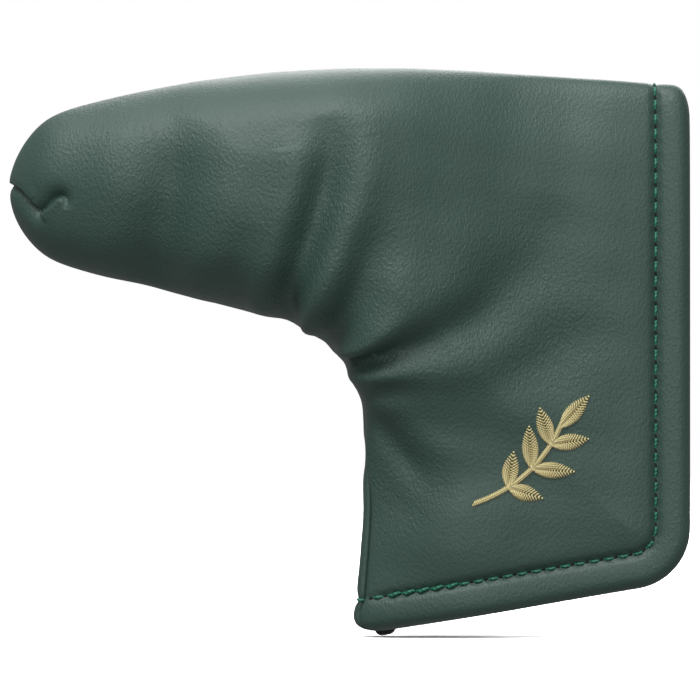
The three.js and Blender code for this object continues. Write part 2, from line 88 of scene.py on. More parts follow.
# Outline, seen from the front, as the frame has it.
HEEL_X = cad_high.x * 1000
TOE_TIP_X = cad_low.x * 1000
CREST_Z = cad_high.z * 1000
MOUTH_LOW_Z = CREST_Z - 124.6
CREST_X = -31.0
MOUTH_TOP_Z = 22.5
TOE_TIP_HALF = 14.1
TOE_CAP = 13.2
UNDERSIDE_TAPER = 0.242
KNEE_RADIUS = 26.0
NECK_WIDTH = 71.5
NECK_FLARE = 2.6
MOUTH_CORNER = 13.5
MOUTH_SLOPE = math.radians(9.5)
TOP_CORNER = 4.0
NECK_CORNER = 5.0

# Thickness, each side of the seam.
TOE_HALF_THICKNESS = 12.5
HEAD_HALF_THICKNESS = 20.0
REST_DEPTH = 16.5
REST_BLEND = 2.0
SHAFT_BULGE = 3.6
SHAFT_BULGE_SPREAD = 0.19
SHAFT_PLACE = 0.75
FLAP_HALF_THICKNESS = 6.7

# Layers, from the outside in.
LEATHER = 1.2
FOAM_DEPTH = 1.55
FOAM = 1.8
LINING_DEPTH = 3.7
LINING = 1.5
HEM_STACK = 5.2
HEM_ALLOWANCE = 9.5
HEM_WIDTH = 7.7
BAND_WIDTH = 11.5
HINGE_SETBACK = 4.0

CAP_END_X = TOE_TIP_X + TOE_CAP
NECK_X = HEEL_X - NECK_WIDTH
LEG_END_X = NECK_X - 1.2 * KNEE_RADIUS


# Properties ---------------------------------------------------------------------------------------


def length(name, description, millimetres):
    """A length property, kept in metres as Blender's lengths are."""
    return bpy.props.FloatProperty(
        name=name, description=description, default=millimetres / 1000, min=1e-5, precision=5, unit="LENGTH"
    )


def colour(name, description, default):
    """A colour property whose default is a linear RGB."""
    return bpy.props.FloatVectorProperty(
        name=name, description=description, default=default, size=3, subtype="COLOR", min=0, max=1
    )


def linear(code):
    """An sRGB hex colour as linear RGB."""
    srgb = np.array([int(code[i : i + 2], 16) for i in (1, 3, 5)]) / 255
    return tuple(np.where(srgb <= 0.04045, srgb / 12.92, ((srgb + 0.055) / 1.055) ** 2.4))


class CoverSizes(bpy.types.PropertyGroup):
    """The sizes that a user would change"""

    fold_depth: bpy.props.FloatProperty(
        name="Fold depth", description="The folds' depth, as a share", default=1.12, min=0, max=2,
        subtype="FACTOR",
    )
    dome: length("Dome", "How far the padding swells from the hem's stitches to the head", 3.4)
    hem_puff: length("Hem puff", "How far the hem stands proud between edge and stitches", 0.55)
    stitch_valley: length("Stitch valley", "How deep the hem's stitches pull in", 0.75)
    stitch_pitch: length("Stitch pitch", "Length of one hem stitch", 3.3)
    thread_radius: length("Thread radius", "Radius of the sewing thread", 0.33)
    seam_roll: length("Seam roll", "Radius of the leather where it turns into the seam", 1.5)
    satin_pitch: length("Satin pitch", "From one embroidery stitch to the next", 0.46)


def size_of(key):
    """One of the cover's length properties, in millimetres."""
    return getattr(bpy.context.scene.cover_sizes, key) * 1000


class CoverColours(bpy.types.PropertyGroup):
    """The colours that a user would change"""

    leather: colour("Leather", "Dyed leather", linear("#30473f"))
    thread: colour("Sewing thread", "Bonded polyester thread", linear("#237057"))
    embroidery: colour("Embroidery", "Rayon embroidery thread", linear("#cfc28c"))
    lining: colour("Lining", "Plush lining", linear("#161817"))
    floor: colour("Floor", "Studio floor", linear("#f6f6f4"))


# Outline curves, in numpy ---------------------------------------------------------------------------


def ramp(x, low, high):
    """0 up to low, 1 from high, and a smooth cubic step between."""
    t = np.clip((x - low) / (high - low), 0, 1)
    return t * t * (3 - 2 * t)


def mix(a, b, t):
    """a at t 0 and b at t 1, in a straight line."""
    return a + (b - a) * t


def top_edge(x):
    """Height of the top edge: the crest, less a power of the way to the toe or to the mouth."""
    toe = np.clip((CREST_X - x) / (CREST_X - TOE_TIP_X), 0, None)
    heel = np.clip((x - CREST_X) / (HEEL_X - CREST_X), 0, None)
    return CREST_Z - (CREST_Z - TOE_TIP_HALF) * toe**1.9 - (CREST_Z - MOUTH_TOP_Z) * heel**1.6


def under_edge(x):
    """Height of the toe's under edge, a straight line that falls towards the heel."""
    return -(TOE_TIP_HALF + UNDERSIDE_TAPER * (x - TOE_TIP_X))


def bottom_edge(x, inset):
    """Height of the bottom edge, moved in from the mouth by inset."""
    return MOUTH_LOW_Z + (x - NECK_X) * math.tan(MOUTH_SLOPE) + inset / math.cos(MOUTH_SLOPE)


KNEE_LEAN = math.hypot(1, UNDERSIDE_TAPER)
KNEE_X = NECK_X - KNEE_RADIUS
KNEE_Z = under_edge(KNEE_X) - KNEE_RADIUS * KNEE_LEAN


def neck_edge(z):
    """X of the neck's sewn edge, which flares towards the bottom as a square."""
    return NECK_X - NECK_FLARE * np.clip((KNEE_Z - z) / (KNEE_Z - MOUTH_LOW_Z), 0, None) ** 2


def corner_drop(inset, radius):
    """How far a round corner's edge lies inside its sharp one, at inset from the other edge."""
    short = np.clip(radius - inset, 0, None)
    return radius - np.sqrt(radius**2 - short**2)


UPRIGHT = MOUTH_TOP_Z - bottom_edge(HEEL_X - MOUTH_CORNER, MOUTH_CORNER)
CORNER = MOUTH_CORNER * (math.pi / 2 - MOUTH_SLOPE)
MOUTH_LENGTH = UPRIGHT + CORNER + NECK_WIDTH - MOUTH_CORNER
CORNER_START = 2 * UPRIGHT / MOUTH_LENGTH - 1
CORNER_END = CORNER_START + 2 * CORNER / MOUTH_LENGTH


def mouth_point(s, inset):
    """Plan point at s along the mouth, from -1 at the top edge to 1 at the neck, moved in by inset.

    Down the upright edge, round an arc whose radius shrinks with the inset, and along the bottom.
    """
    s, inset = np.broadcast_arrays(np.asarray(s, float), np.asarray(inset, float))
    radius = np.maximum(MOUTH_CORNER - inset, 0.5)
    x = HEEL_X - inset
    centre_x = x - radius
    centre_z = bottom_edge(centre_x, inset + radius)
    top_z = top_edge(x) - corner_drop(inset, TOP_CORNER)
    upright = np.stack([x, mix(top_z, centre_z, (s + 1) / (CORNER_START + 1))], -1)
    angle = (s - CORNER_START) / (CORNER_END - CORNER_START) * (MOUTH_SLOPE - math.pi / 2)
    arc = np.stack([centre_x + radius * np.cos(angle), centre_z + radius * np.sin(angle)], -1)
    start_x = centre_x + radius * math.sin(MOUTH_SLOPE)
    end_x = neck_edge(bottom_edge(NECK_X - NECK_FLARE, inset)) + corner_drop(inset, NECK_CORNER)
    along = mix(start_x, end_x, (s - CORNER_END) / (1 - CORNER_END))
    bottom = np.stack([along, bottom_edge(along, inset)], -1)
    after = np.where((s < CORNER_END)[..., None], arc, bottom)
    return np.where((s < CORNER_START)[..., None], upright, after)


BAND_TOP = mouth_point(-1, BAND_WIDTH)
BAND_LOW = mouth_point(1, BAND_WIDTH)


def run_along(line):
    """Length along a line of points, at each point."""
    return np.append(0, np.cumsum(np.linalg.norm(np.diff(line, axis=0), axis=1)))


def under_path_points():
    """The under edge, the knee's arc and the neck as points, with each point's share of the length."""
    joint = [KNEE_X + KNEE_RADIUS * UNDERSIDE_TAPER / KNEE_LEAN, KNEE_Z + KNEE_RADIUS / KNEE_LEAN]
    t = np.linspace(0, 1, 200)[:, None]
    line = mix(np.array([LEG_END_X, under_edge(LEG_END_X)]), np.array(joint), t)
    angle = mix(math.atan2(1, UNDERSIDE_TAPER), 0, t)
    arc = np.hstack([KNEE_X + KNEE_RADIUS * np.cos(angle), KNEE_Z + KNEE_RADIUS * np.sin(angle)])
    middle = np.array([NECK_X, (KNEE_Z + BAND_LOW[1]) / 2])
    neck = (1 - t) ** 2 * arc[-1] + 2 * t * (1 - t) * middle + t**2 * BAND_LOW
    points = np.vstack([line, arc[1:], neck[1:]])
    run = run_along(points)
    return points, run / run[-1]


UNDER_POINTS, UNDER_SHARES = under_path_points()


def fan_point(q, s):
    """Plan point of the fan round the knee: straight lines from the top edge to the under path.

    They bend, with the square of q, into the outline of the mouth.
    """
    q, s = np.broadcast_arrays(np.asarray(q, float), np.asarray(s, float))
    top_x = mix(LEG_END_X, BAND_TOP[0], q)
    top = np.stack([top_x, top_edge(top_x)], -1)
    low = np.stack([np.interp(q, UNDER_SHARES, UNDER_POINTS[:, k]) for k in (0, 1)], -1)
    share = ((s + 1) / 2)[..., None]
    bend = mouth_point(s, BAND_WIDTH) - mix(BAND_TOP, BAND_LOW, share)
    return mix(top, low, share) + (q**2)[..., None] * bend


def u_at(inset):
    """The u whose line keeps that inset from the mouth's edge."""
    return 4 - np.asarray(inset, float) / BAND_WIDTH


def toe_x(u):
    """X along the toe: a quarter wave over its round end, then evenly."""
    cap = TOE_TIP_X + TOE_CAP * (1 - np.cos(np.clip(u, 0, 1) * math.pi / 2))
    return np.where(u < 1, cap, mix(CAP_END_X, LEG_END_X, np.clip(u - 1, 0, 1)))


def across(u, s):
    """Plan point of the outer face in the fan and the strip."""
    fan = fan_point(np.clip(u - 2, 0, 1), s)
    return np.where((u < 3)[..., None], fan, mouth_point(s, BAND_WIDTH * (4 - np.clip(u, 3, 4))))


def edge_speed(u, end):
    """How fast a line across the panel leaves the panel's edge at end, square to that edge."""
    step = 0.01
    inward = (across(u, end * (1 - step) + 0 * u) - across(u, end + 0 * u)) / step
    q = np.clip(np.minimum(u - 2 - step / 2, 1 - step), 0, 1)
    edge = fan_point(q + step, end) - fan_point(q, end)
    edge = edge / np.linalg.norm(edge, axis=-1, keepdims=True)
    square = np.abs(inward[..., 0] * edge[..., 1] - inward[..., 1] * edge[..., 0])
    return np.where(u >= 3, np.linalg.norm(inward, axis=-1), square)


def plan_point(u, s, depth):
    """Plan point at u and s, moved in from the panel's edges by depth."""
    x = toe_x(u)
    middle = (top_edge(x) + under_edge(x)) / 2
    half = (top_edge(x) - under_edge(x)) / 2
    turn = np.clip(u, 0, 1) * math.pi / 2
    toe = np.stack(
        np.broadcast_arrays(x + depth * np.cos(turn), middle - s * (half - depth) * np.sin(turn)), -1
    )
    top = depth * (1 - s) / 2 / edge_speed(u, -1.0)
    low = depth * (1 + s) / 2 / edge_speed(u, 1.0)
    u, shifted = np.broadcast_arrays(u, s + top - low)
    return np.where((u <= 2)[..., None], toe, across(u, shifted))


def half_thickness(u, s):
    """From toe to head a smooth step, then thinning to the flaps with a bulge over the shaft."""
    toe = mix(TOE_HALF_THICKNESS, HEAD_HALF_THICKNESS, ramp(toe_x(u), TOE_TIP_X, LEG_END_X))
    thin = mix(HEAD_HALF_THICKNESS, FLAP_HALF_THICKNESS, ramp(u - 2, 0.25, 0.85))
    bulge = SHAFT_BULGE * np.exp(-(((s - SHAFT_PLACE) / SHAFT_BULGE_SPREAD) ** 2))
    return np.where(u <= 2, toe, thin + bulge * ramp(u - 2, 0.6, 1))


def swell(u, s):
    """Superellipse across the panel: a power near 2 makes the toe round, and 5 the flaps flat."""
    power = mix(2.2, 5, ramp(u, 2, 3))
    return (1 - np.clip(np.abs(s), 0, 1) ** power) ** (1 / power)


def levelled(y):
    """The rear panel's depth from the seam, which a parabola levels off where the cover lies on it."""
    over = np.clip((y - REST_DEPTH + REST_BLEND) / (2 * REST_BLEND), 0, 1)
    return np.minimum(y, REST_DEPTH - REST_BLEND) + REST_BLEND * (1 - (1 - over) ** 2)


def panel_point(side, u, s, depth):
    """Point of a panel: its plan point, and half the thickness times the section, less the depth."""
    rise = np.sin(np.clip(u, 0, 1) * math.pi / 2) * swell(u, s)
    outer = half_thickness(u, s) * rise
    outer = levelled(outer) if side == REAR else outer
    plan = plan_point(u, s, depth)
    return np.stack([plan[..., 0], side * (outer - depth * rise), plan[..., 1]], -1)


# Relief: folds, hem and pleat -----------------------------------------------------------------------

# Each fold is a line of points on the plan: x, z, depth and width there, all in millimetres.
FRONT_FOLDS = [
    # The sharp fold that starts in the crook of the neck and fades over the head.
    [(-36.5, -38.6, 2.2, 1.5), (-31.5, -37.8, 2.6, 1.6), (-27.5, -37.0, 2.7, 2.0), (-18, -33.6, 2.2, 3.4),
     (-8.4, -29.6, 1.8, 4.8), (-1.2, -24.2, 1.4, 5.8), (4.4, -18.5, 1.0, 6.4), (9, -9, 0.5, 6.8),
     (10.5, -1, 0.0, 7.0)],
    # The long valley from the toe's under edge up to the crest.
    [(-46.8, -34, 2.0, 1.8), (-46.9, -29.0, 2.6, 2.6), (-46.3, -23.5, 3.0, 3.4), (-43.4, -16.4, 3.3, 3.8),
     (-40.3, -7.0, 3.2, 3.8), (-38.0, 2.0, 2.5, 3.8), (-37.2, 8.6, 1.3, 4.0), (-38.9, 14.5, 0.0, 4.4)],
    # The shorter valley next to it, towards the neck.
    [(-38.8, -37, 1.9, 2.2), (-36.6, -32.6, 2.3, 2.9), (-33.2, -26.3, 2.4, 3.7), (-30.4, -19.2, 2.0, 4.4),
     (-28.2, -12.9, 1.3, 5.2), (-25.6, -6.5, 0.5, 6.0), (-23.6, -1, 0.0, 6.2)],
    # Soft hollows in the toe.
    [(-76.5, -24, 1.4, 5.6), (-74.6, -12, 2.6, 6.0), (-71.6, 0, 2.4, 6.2), (-69.5, 10, 0.9, 6.6),
     (-68, 15, 0.0, 6.6)],
    [(-60.5, -29, 0.9, 4.0), (-57.5, -19, 0.8, 4.6), (-54, -8, 0.0, 5.0)],
    # Soft folds over the neck.
    [(-32, -46.5, 0.6, 1.3), (-27, -44.6, 0.5, 1.8), (-20, -42.0, 0.3, 2.8), (-13, -40, 0.0, 3.4)],
    [(-31, -49, 0.7, 2.2), (-25.5, -54.0, 1.2, 3.0), (-20, -60.5, 1.3, 3.4), (-15, -65.5, 0.7, 4.2),
     (-8, -70, 0.0, 4.8)],
    [(-27, -64, 0.4, 2.8), (-21, -70, 0.6, 3.8), (-13, -75, 0.0, 4.6)],
    [(-5, -41, 0.0, 4.8), (4, -38.5, 0.9, 5.6), (15, -34, 0.8, 6.2), (25, -28, 0.0, 7.0)],
]

REAR_FOLDS = [
    [(-36.5, -38.6, 3.0, 1.6), (-28, -35.5, 2.3, 2.1), (-17, -29.5, 1.5, 3.2), (-7, -20, 0.8, 4.6),
     (-1, -11, 0.0, 5.0)],
    [(-47.5, -33, 2.4, 2.7), (-46, -21, 2.0, 3.3), (-46.5, -9, 1.2, 4.2), (-48, 3, 0.0, 4.8)],
    [(-40, -37.5, 2.0, 2.6), (-35, -25, 1.3, 3.8), (-28, -15, 0.0, 5.0)],
    [(-78, -22, 0.8, 4.6), (-76, -9, 0.9, 5.0), (-75, 4, 0.0, 5.4)],
    [(-31, -46, 0.9, 1.7), (-22, -47.5, 0.6, 2.8), (-12, -47, 0.0, 4.0)],
    [(-30, -58, 0.9, 2.4), (-20, -64, 0.7, 3.4), (-8, -67, 0.0, 4.6)],
]

# The tucked pleat at the toe's tip: creases that dive slowly on their left and sharply on their right.
FRONT_PLEAT = [
    [(-101.5, -5.5, 2.0, 1.0), (-100.0, -4.3, 2.1, 1.2), (-98.6, -3.0, 2.2, 1.3), (-97.5, -2.1, 2.1, 1.2),
     (-96.2, -1.9, 1.8, 1.0), (-95.4, -2.8, 1.3, 0.8), (-95.3, -4.8, 0.0, 0.6)],
    [(-101.5, -5.5, 2.0, 0.9), (-103.0, -3.9, 1.8, 1.0), (-104.4, -2.2, 1.5, 0.9), (-106.2, -0.2, 1.2, 0.8),
     (-109.5, 1.6, 0.9, 0.7)],
]
REAR_PLEAT = [
    [(-96.8, 0.2, 0.0, 0.8), (-99.4, 1.0, 1.1, 1.0), (-102.4, -0.4, 1.3, 1.0), (-105.5, 0.2, 1.1, 0.9),
     (-109.5, 1.4, 0.9, 0.7)],
]


def smooth_line(line, count=32):
    """The Catmull-Rom curve through a line's points, its depths and widths with them."""
    p = np.array(line, float)
    p = np.vstack([2 * p[0] - p[1], p, 2 * p[-1] - p[-2]])
    at = np.linspace(0, len(line) - 1, count)
    k = np.minimum(at.astype(int), len(line) - 2)
    t = (at - k)[:, None]
    a, b, c, d = p[k], p[k + 1], p[k + 2], p[k + 3]
    curve = 0.5 * (2 * b + (c - a) * t + (2 * a - 5 * b + 4 * c - d) * t**2 + (3 * b - a - 3 * c + d) * t**3)
    curve[:, 2:] = np.clip(curve[:, 2:], 0, None)
    return curve


def from_curve(x, z, curve):
    """Distance from a curve, which side of it each point is on, and the depth and width there."""
    best = np.full(x.shape, 1e9)
    side = np.ones(x.shape)
    depth = np.zeros(x.shape)
    width = np.ones(x.shape)
    for (ax, az, ad, aw), (bx, bz, bd, bw) in zip(curve[:-1], curve[1:]):
        dx, dz = bx - ax, bz - az
        t = np.clip(((x - ax) * dx + (z - az) * dz) / (dx * dx + dz * dz), 0, 1)
        away = np.hypot(x - ax - t * dx, z - az - t * dz)
        nearer = away < best
        best = np.where(nearer, away, best)
        side = np.where(nearer, np.sign(dx * (z - az) - dz * (x - ax)), side)
        depth = np.where(nearer, mix(ad, bd, t), depth)
        width = np.where(nearer, mix(aw, bw, t), width)
    return best, side, depth, width


def fold_relief(side, x, z):
    """Sum of valleys, each a bell of its depth and width with a low ridge along both its sides.

    The second result is how crumpled the leather is: a wider bell round each valley, at most 1.
    """
    relief = np.zeros(x.shape)
    crumple = np.zeros(x.shape)
    for line in FRONT_FOLDS if side == FRONT else REAR_FOLDS:
        away, _, depth, width = from_curve(x, z, smooth_line(line))
        r = away / width
        relief -= depth * (np.exp(-(r**2)) - 0.36 * np.exp(-((r - 2.0) ** 2) / 1.1))
        crumple += np.clip(depth, 0, 1.5) * np.exp(-((r / 2.6) ** 2))
    return relief, np.clip(crumple, 0, 1)


def pleat_relief(side, x, z):
    """The deepest of the pleat's creases: a slow bell on its left, a sharp one with a lip on its right."""
    relief = np.zeros(x.shape)
    for line in FRONT_PLEAT if side == FRONT else REAR_PLEAT:
        away, hand, depth, width = from_curve(x, z, smooth_line(line))
        slow = np.exp(-((away / (1.5 * width)) ** 1.5))
        sharp = np.exp(-((away / (0.36 * width)) ** 2)) - 0.07 * np.exp(-(((away - 1.6) / 1.2) ** 2))
        crease = -depth * np.where(hand > 0, slow, sharp)
        relief = np.where(np.abs(crease) > np.abs(relief), crease, relief)
    return relief


def hem_relief(u, run):
    """Across the hem: a sine crown from edge to stitches, the stitches' valley and a low rise beyond it.

    The valley is a bell whose depth goes with a cosine along the run, deepest at each needle hole.
    """
    puff, valley, pitch = size_of("hem_puff"), size_of("stitch_valley"), size_of("stitch_pitch")
    inset = BAND_WIDTH * (4 - u)
    crown = puff * np.sin(np.clip(inset / HEM_WIDTH, 0, 1) * math.pi) ** 1.2
    pull = 1 + 0.22 * np.cos(2 * math.pi * run / pitch)
    row = -valley * pull * np.exp(-(((inset - HEM_WIDTH) / 0.95) ** 2))
    beyond = 0.35 * puff * np.exp(-(((inset - HEM_WIDTH - 3) / 2.2) ** 2))
    return np.where(u > 2.4, crown * (inset < HEM_WIDTH) + row + beyond, 0)


def from_stitches(x, z):
    """Distance on the plan from the hem's row of stitches."""
    row = mouth_point(np.linspace(-1.0, 1.0, 90), HEM_WIDTH)
    return from_curve(x, z, np.hstack([row, 0 * row]))[0]


def soft_unevenness(x, z):
    """Two products of long sine waves, as stuffed leather never lies quite even."""
    broad = 0.22 * np.sin(x / 7.3 + 0.7 * np.sin(z / 9.1)) * np.sin(z / 8.2 + 1.3)
    return broad + 0.12 * np.sin((x + z) / 4.1) * np.sin((x - 1.7 * z) / 5.9)


# Grids ----------------------------------------------------------------------------------------------

DENSE = np.linspace(0, 1, 401)
# s from -1 to 1, with most of the points near the two seams.
DENSE_S = -np.cos(math.pi * DENSE**2.5 / (DENSE**2.5 + (1 - DENSE) ** 2.5))


def seam_bias(u):
    """How far the joining seam has rolled round onto the front at the neck, along the leather."""
    return 4.8 * ramp(u, 2.4, 2.8) - 1.2 * ramp(u, 3.2, 3.6)


def loop_of(u, depth):
    """Both panels as one closed loop for each row of u and depth, with the run along it."""
    u, depth = u[:, None], depth[:, None]
    front = panel_point(FRONT, u, DENSE_S[None], depth)
    rear = panel_point(REAR, u, DENSE_S[None, ::-1], depth)
    loop = np.concatenate([front, rear[:, 1:]], 1)
    run = np.cumsum(np.linalg.norm(np.diff(loop, axis=1), axis=2), 1)
    run = np.concatenate([np.zeros((len(run), 1)), run], 1)
    return loop, run


END_COLUMNS = 9


def spread(count, total, fine):
    """Runs from 0 to total in rows, with END_COLUMNS of them in the first and last fine millimetres."""
    share = np.linspace(0, 1, count)
    near = np.minimum(fine, total / 4)[:, None]
    ends = END_COLUMNS / (count - 1)
    start = share / ends * near
    middle = near + (share - ends) / (1 - 2 * ends) * (total[:, None] - 2 * near)
    finish = total[:, None] - (1 - share) / ends * near
    return np.where(share < ends, start, np.where(share > 1 - ends, finish, middle))


def panel_grid(side, u, depth, count, room, fine):
    """Points of one panel at each row's u and depth, count of them from seam to seam, and their runs.

    room is kept free at both seams.
    """
    loop, run = loop_of(u, depth)
    lower = run[:, len(DENSE) - 1] - seam_bias(u)
    room = np.minimum(room, lower / 6 + 1e-4)
    start, stop = (room, lower - room) if side == FRONT else (lower + room, run[:, -1] - room)
    along = spread(count, stop - start, fine)
    at = start[:, None] + along
    grid = np.stack([[np.interp(a, r, c) for a, r, c in zip(at, run, loop[..., k])] for k in range(3)], -1)
    return grid, along, stop - start


def normals_of(grid):
    """Unit normals of a grid, facing out of the panel, from the cross product of its two tangents."""
    normal = np.cross(np.gradient(grid, axis=1), np.gradient(grid, axis=0))
    return normal / np.maximum(np.linalg.norm(normal, axis=-1, keepdims=True), 1e-12)


def evened(grid, u, places, passes):
    """Smooths a grid from row to row near the given u, where two outline rules meet."""
    weight = np.max([np.exp(-(((u - place) / width) ** 2)) for place, width in places], 0)[:, None, None]
    for _ in range(passes):
        middle = (grid[:-2] + grid[2:]) / 2
        grid = grid.copy()
        grid[1:-1] += 0.5 * weight[1:-1] * (middle - grid[1:-1])
    return grid


# The u at which two outline rules meet, and how widely each join is smoothed.
JOINS = [(1.0, 0.22), (2.0, 0.14), (3.0, 0.08)]


# Mesh making ----------------------------------------------------------------------------------------


def signed_volume(points, faces):
    """Volume inside the faces by the divergence theorem, negative if they face inwards."""
    total = 0.0
    for block in faces:
        corners = points[block]
        for k in range(1, block.shape[1] - 1):
            total += np.einsum("ij,ij->", corners[:, 0], np.cross(corners[:, k], corners[:, k + 1]))
    return total / 6


def grid_faces(index):
    """Quads over a grid of point numbers."""
    quads = np.stack([index[:-1, :-1], index[1:, :-1], index[1:, 1:], index[:-1, 1:]], -1)
    return quads.reshape(-1, 4)


def wall_faces(outer, inner, step):
    """Faces between an outer edge and an inner one that has every step-th point."""
    start = np.arange(len(inner) - 1)[:, None] * step
    run = outer[start + np.arange(step + 1)[None]]
    return np.hstack([run, inner[1:, None], inner[:-1, None]])


def closed_sheet(outer, inner, step):
    """A sheet with two faces: quads over both grids, and walls round their edges."""
    rows, columns = outer.shape[:2]
    numbers = np.arange(rows * columns).reshape(rows, columns)
    inside = rows * columns + np.arange(inner.shape[0] * inner.shape[1]).reshape(inner.shape[:2])
    points = np.vstack([outer.reshape(-1, 3), inner.reshape(-1, 3)])
    walls = [
        wall_faces(numbers[:, 0], inside[:, 0], step)[:, ::-1],
        wall_faces(numbers[:, -1], inside[:, -1], step),
        wall_faces(numbers[0], inside[0], step),
        wall_faces(numbers[-1], inside[-1], step)[:, ::-1],
    ]
    faces = [grid_faces(numbers), grid_faces(inside)[:, ::-1], *walls]
    return points, faces


def tubes(centres, normal, radius, sides=8):
    """Closed round tubes along rows of centres: a ring round each centre, and a point at each end.

    radius is a number or one for each centre, as a stitch is thinner where it dives into its hole.
    """
    count, steps = centres.shape[:2]
    along = np.gradient(centres, axis=1)
    along /= np.linalg.norm(along, axis=-1, keepdims=True)
    cross = np.cross(along, normal)
    cross /= np.linalg.norm(cross, axis=-1, keepdims=True)
    up = np.cross(cross, along)
    angle = np.linspace(0, 2 * math.pi, sides, endpoint=False)
    radius = np.broadcast_to(radius, (count, steps))[..., None, None]
    ring = centres[:, :, None] + radius * (
        np.cos(angle)[:, None] * cross[:, :, None] + np.sin(angle)[:, None] * up[:, :, None]
    )
    tips = centres[:, [0, -1]] + np.stack([-along[:, 0], along[:, -1]], 1) * radius[:, [0, -1], 0] * 0.6
    size = steps * sides
    base = np.arange(count)[:, None] * (size + 2)
    numbers = base[:, :, None] + np.arange(size).reshape(1, steps, sides)
    wrapped = np.concatenate([numbers, numbers[..., :1]], -1)
    quads = np.stack(
        [wrapped[:, :-1, :-1], wrapped[:, 1:, :-1], wrapped[:, 1:, 1:], wrapped[:, :-1, 1:]], -1
    ).reshape(-1, 4)
    first = np.broadcast_to(base + size, (count, sides))
    last = first + 1
    start = np.stack([first, wrapped[:, 0, :-1], wrapped[:, 0, 1:]], -1).reshape(-1, 3)
    end = np.stack([last, wrapped[:, -1, 1:], wrapped[:, -1, :-1]], -1).reshape(-1, 3)
    points = np.concatenate([ring.reshape(count, size, 3), tips], 1).reshape(-1, 3)
    lengths = np.cumsum(np.linalg.norm(np.diff(centres, axis=1, prepend=centres[:, :1]), axis=-1), 1)
    v = np.concatenate([np.repeat(lengths, sides, 1), lengths[:, [0, -1]]], 1).ravel()
    w = np.concatenate([np.tile(angle / (2 * math.pi), (count, steps)), np.zeros((count, 2))], 1).ravel()
    return points, [quads, start, end], {"thread_run": v, "thread_turn": w}


# Points nearer to each other than this are one.
WELD = 0.02


def piece(name, points, faces, material, replaced=(), merge=0.0, attributes=None):
    """Makes a mesh object from points in millimetres and blocks of faces, facing out."""
    if signed_volume(points, faces) < 0:
        faces = [block[:, ::-1] for block in faces]
    mesh = bpy.data.meshes.new(name)
    mesh.from_pydata((points / 1000).tolist(), [], [face for block in faces for face in block.tolist()])
    for key, values in (attributes or {}).items():
        mesh.attributes.new(key, "FLOAT", "POINT").data.foreach_set("value", values.astype(np.float32))
    if merge:
        cleaned = bmesh.new()
        cleaned.from_mesh(mesh)
        bmesh.ops.remove_doubles(cleaned, verts=cleaned.verts, dist=merge / 1000)
        cleaned.to_mesh(mesh)
        cleaned.free()
    mesh.polygons.foreach_set("use_smooth", np.ones(len(mesh.polygons), bool))
    mesh.materials.append(material)
    made = bpy.data.objects.new(name, mesh)
    bpy.context.scene.collection.objects.link(made)
    if replaced:
        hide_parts(*replaced)
    return made


# How far beyond the fold line a flap begins to turn, and from where it turns fully.
BEND_START = 3.6
BEND_END = 15.0


def fold_zone():
    """Where the flaps begin to turn and where they turn fully, as two points square to the fold."""
    top, low = mouth_point([-1, 1], HINGE_SETBACK)
    line = (low - top) / np.linalg.norm(low - top)
    square = np.array([-line[1], line[0]])
    ends = (top + away * square for away in (BEND_START, BEND_END))
    return [(np.array([x, 0, z]) / 1000).tolist() for x, z in ends]


def bend(made, side):
    """Bakes a piece's transform into its mesh; the fold zone is worked out but not used, so nothing follows
    the flap.
    """
    start, end = fold_zone()
    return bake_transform(made)


# Materials ------------------------------------------------------------------------------------------


def add(tree, kind, inputs=None, **settings):
    """Adds a node. inputs maps its sockets to values or to other nodes' sockets."""
    made = tree.nodes.new(kind)
    for key, value in settings.items():
        setattr(made, key, value)
    for key, value in (inputs or {}).items():
        if isinstance(value, bpy.types.NodeSocket):
            tree.links.new(value, made.inputs[key])
        else:
            made.inputs[key].default_value = value
    return made


def blank(name):
    """A material with an empty node tree, and the tree."""
    material = bpy.data.materials.get(name) or bpy.data.materials.new(name)
    material.use_nodes = True
    material.node_tree.nodes.clear()
    return material, material.node_tree


def in_millimetres(tree):
    """Object coordinates times 1000."""
    place = add(tree, "ShaderNodeTexCoord").outputs["Object"]
    return add(tree, "ShaderNodeMapping", {"Vector": place, "Scale": (1000, 1000, 1000)}).outputs["Vector"]


def finished(material, inputs):
    """The material with its shader, whose sockets take the inputs."""
    shader = add(material.node_tree, "ShaderNodeBsdfPrincipled", inputs)
    add(material.node_tree, "ShaderNodeOutputMaterial", {"Surface": shader.outputs["BSDF"]})
    return material


def rgba(rgb, light=1.0):
    """A linear colour, lightened or darkened, with its alpha."""
    return (*[min(c * light, 1) for c in rgb], 1)


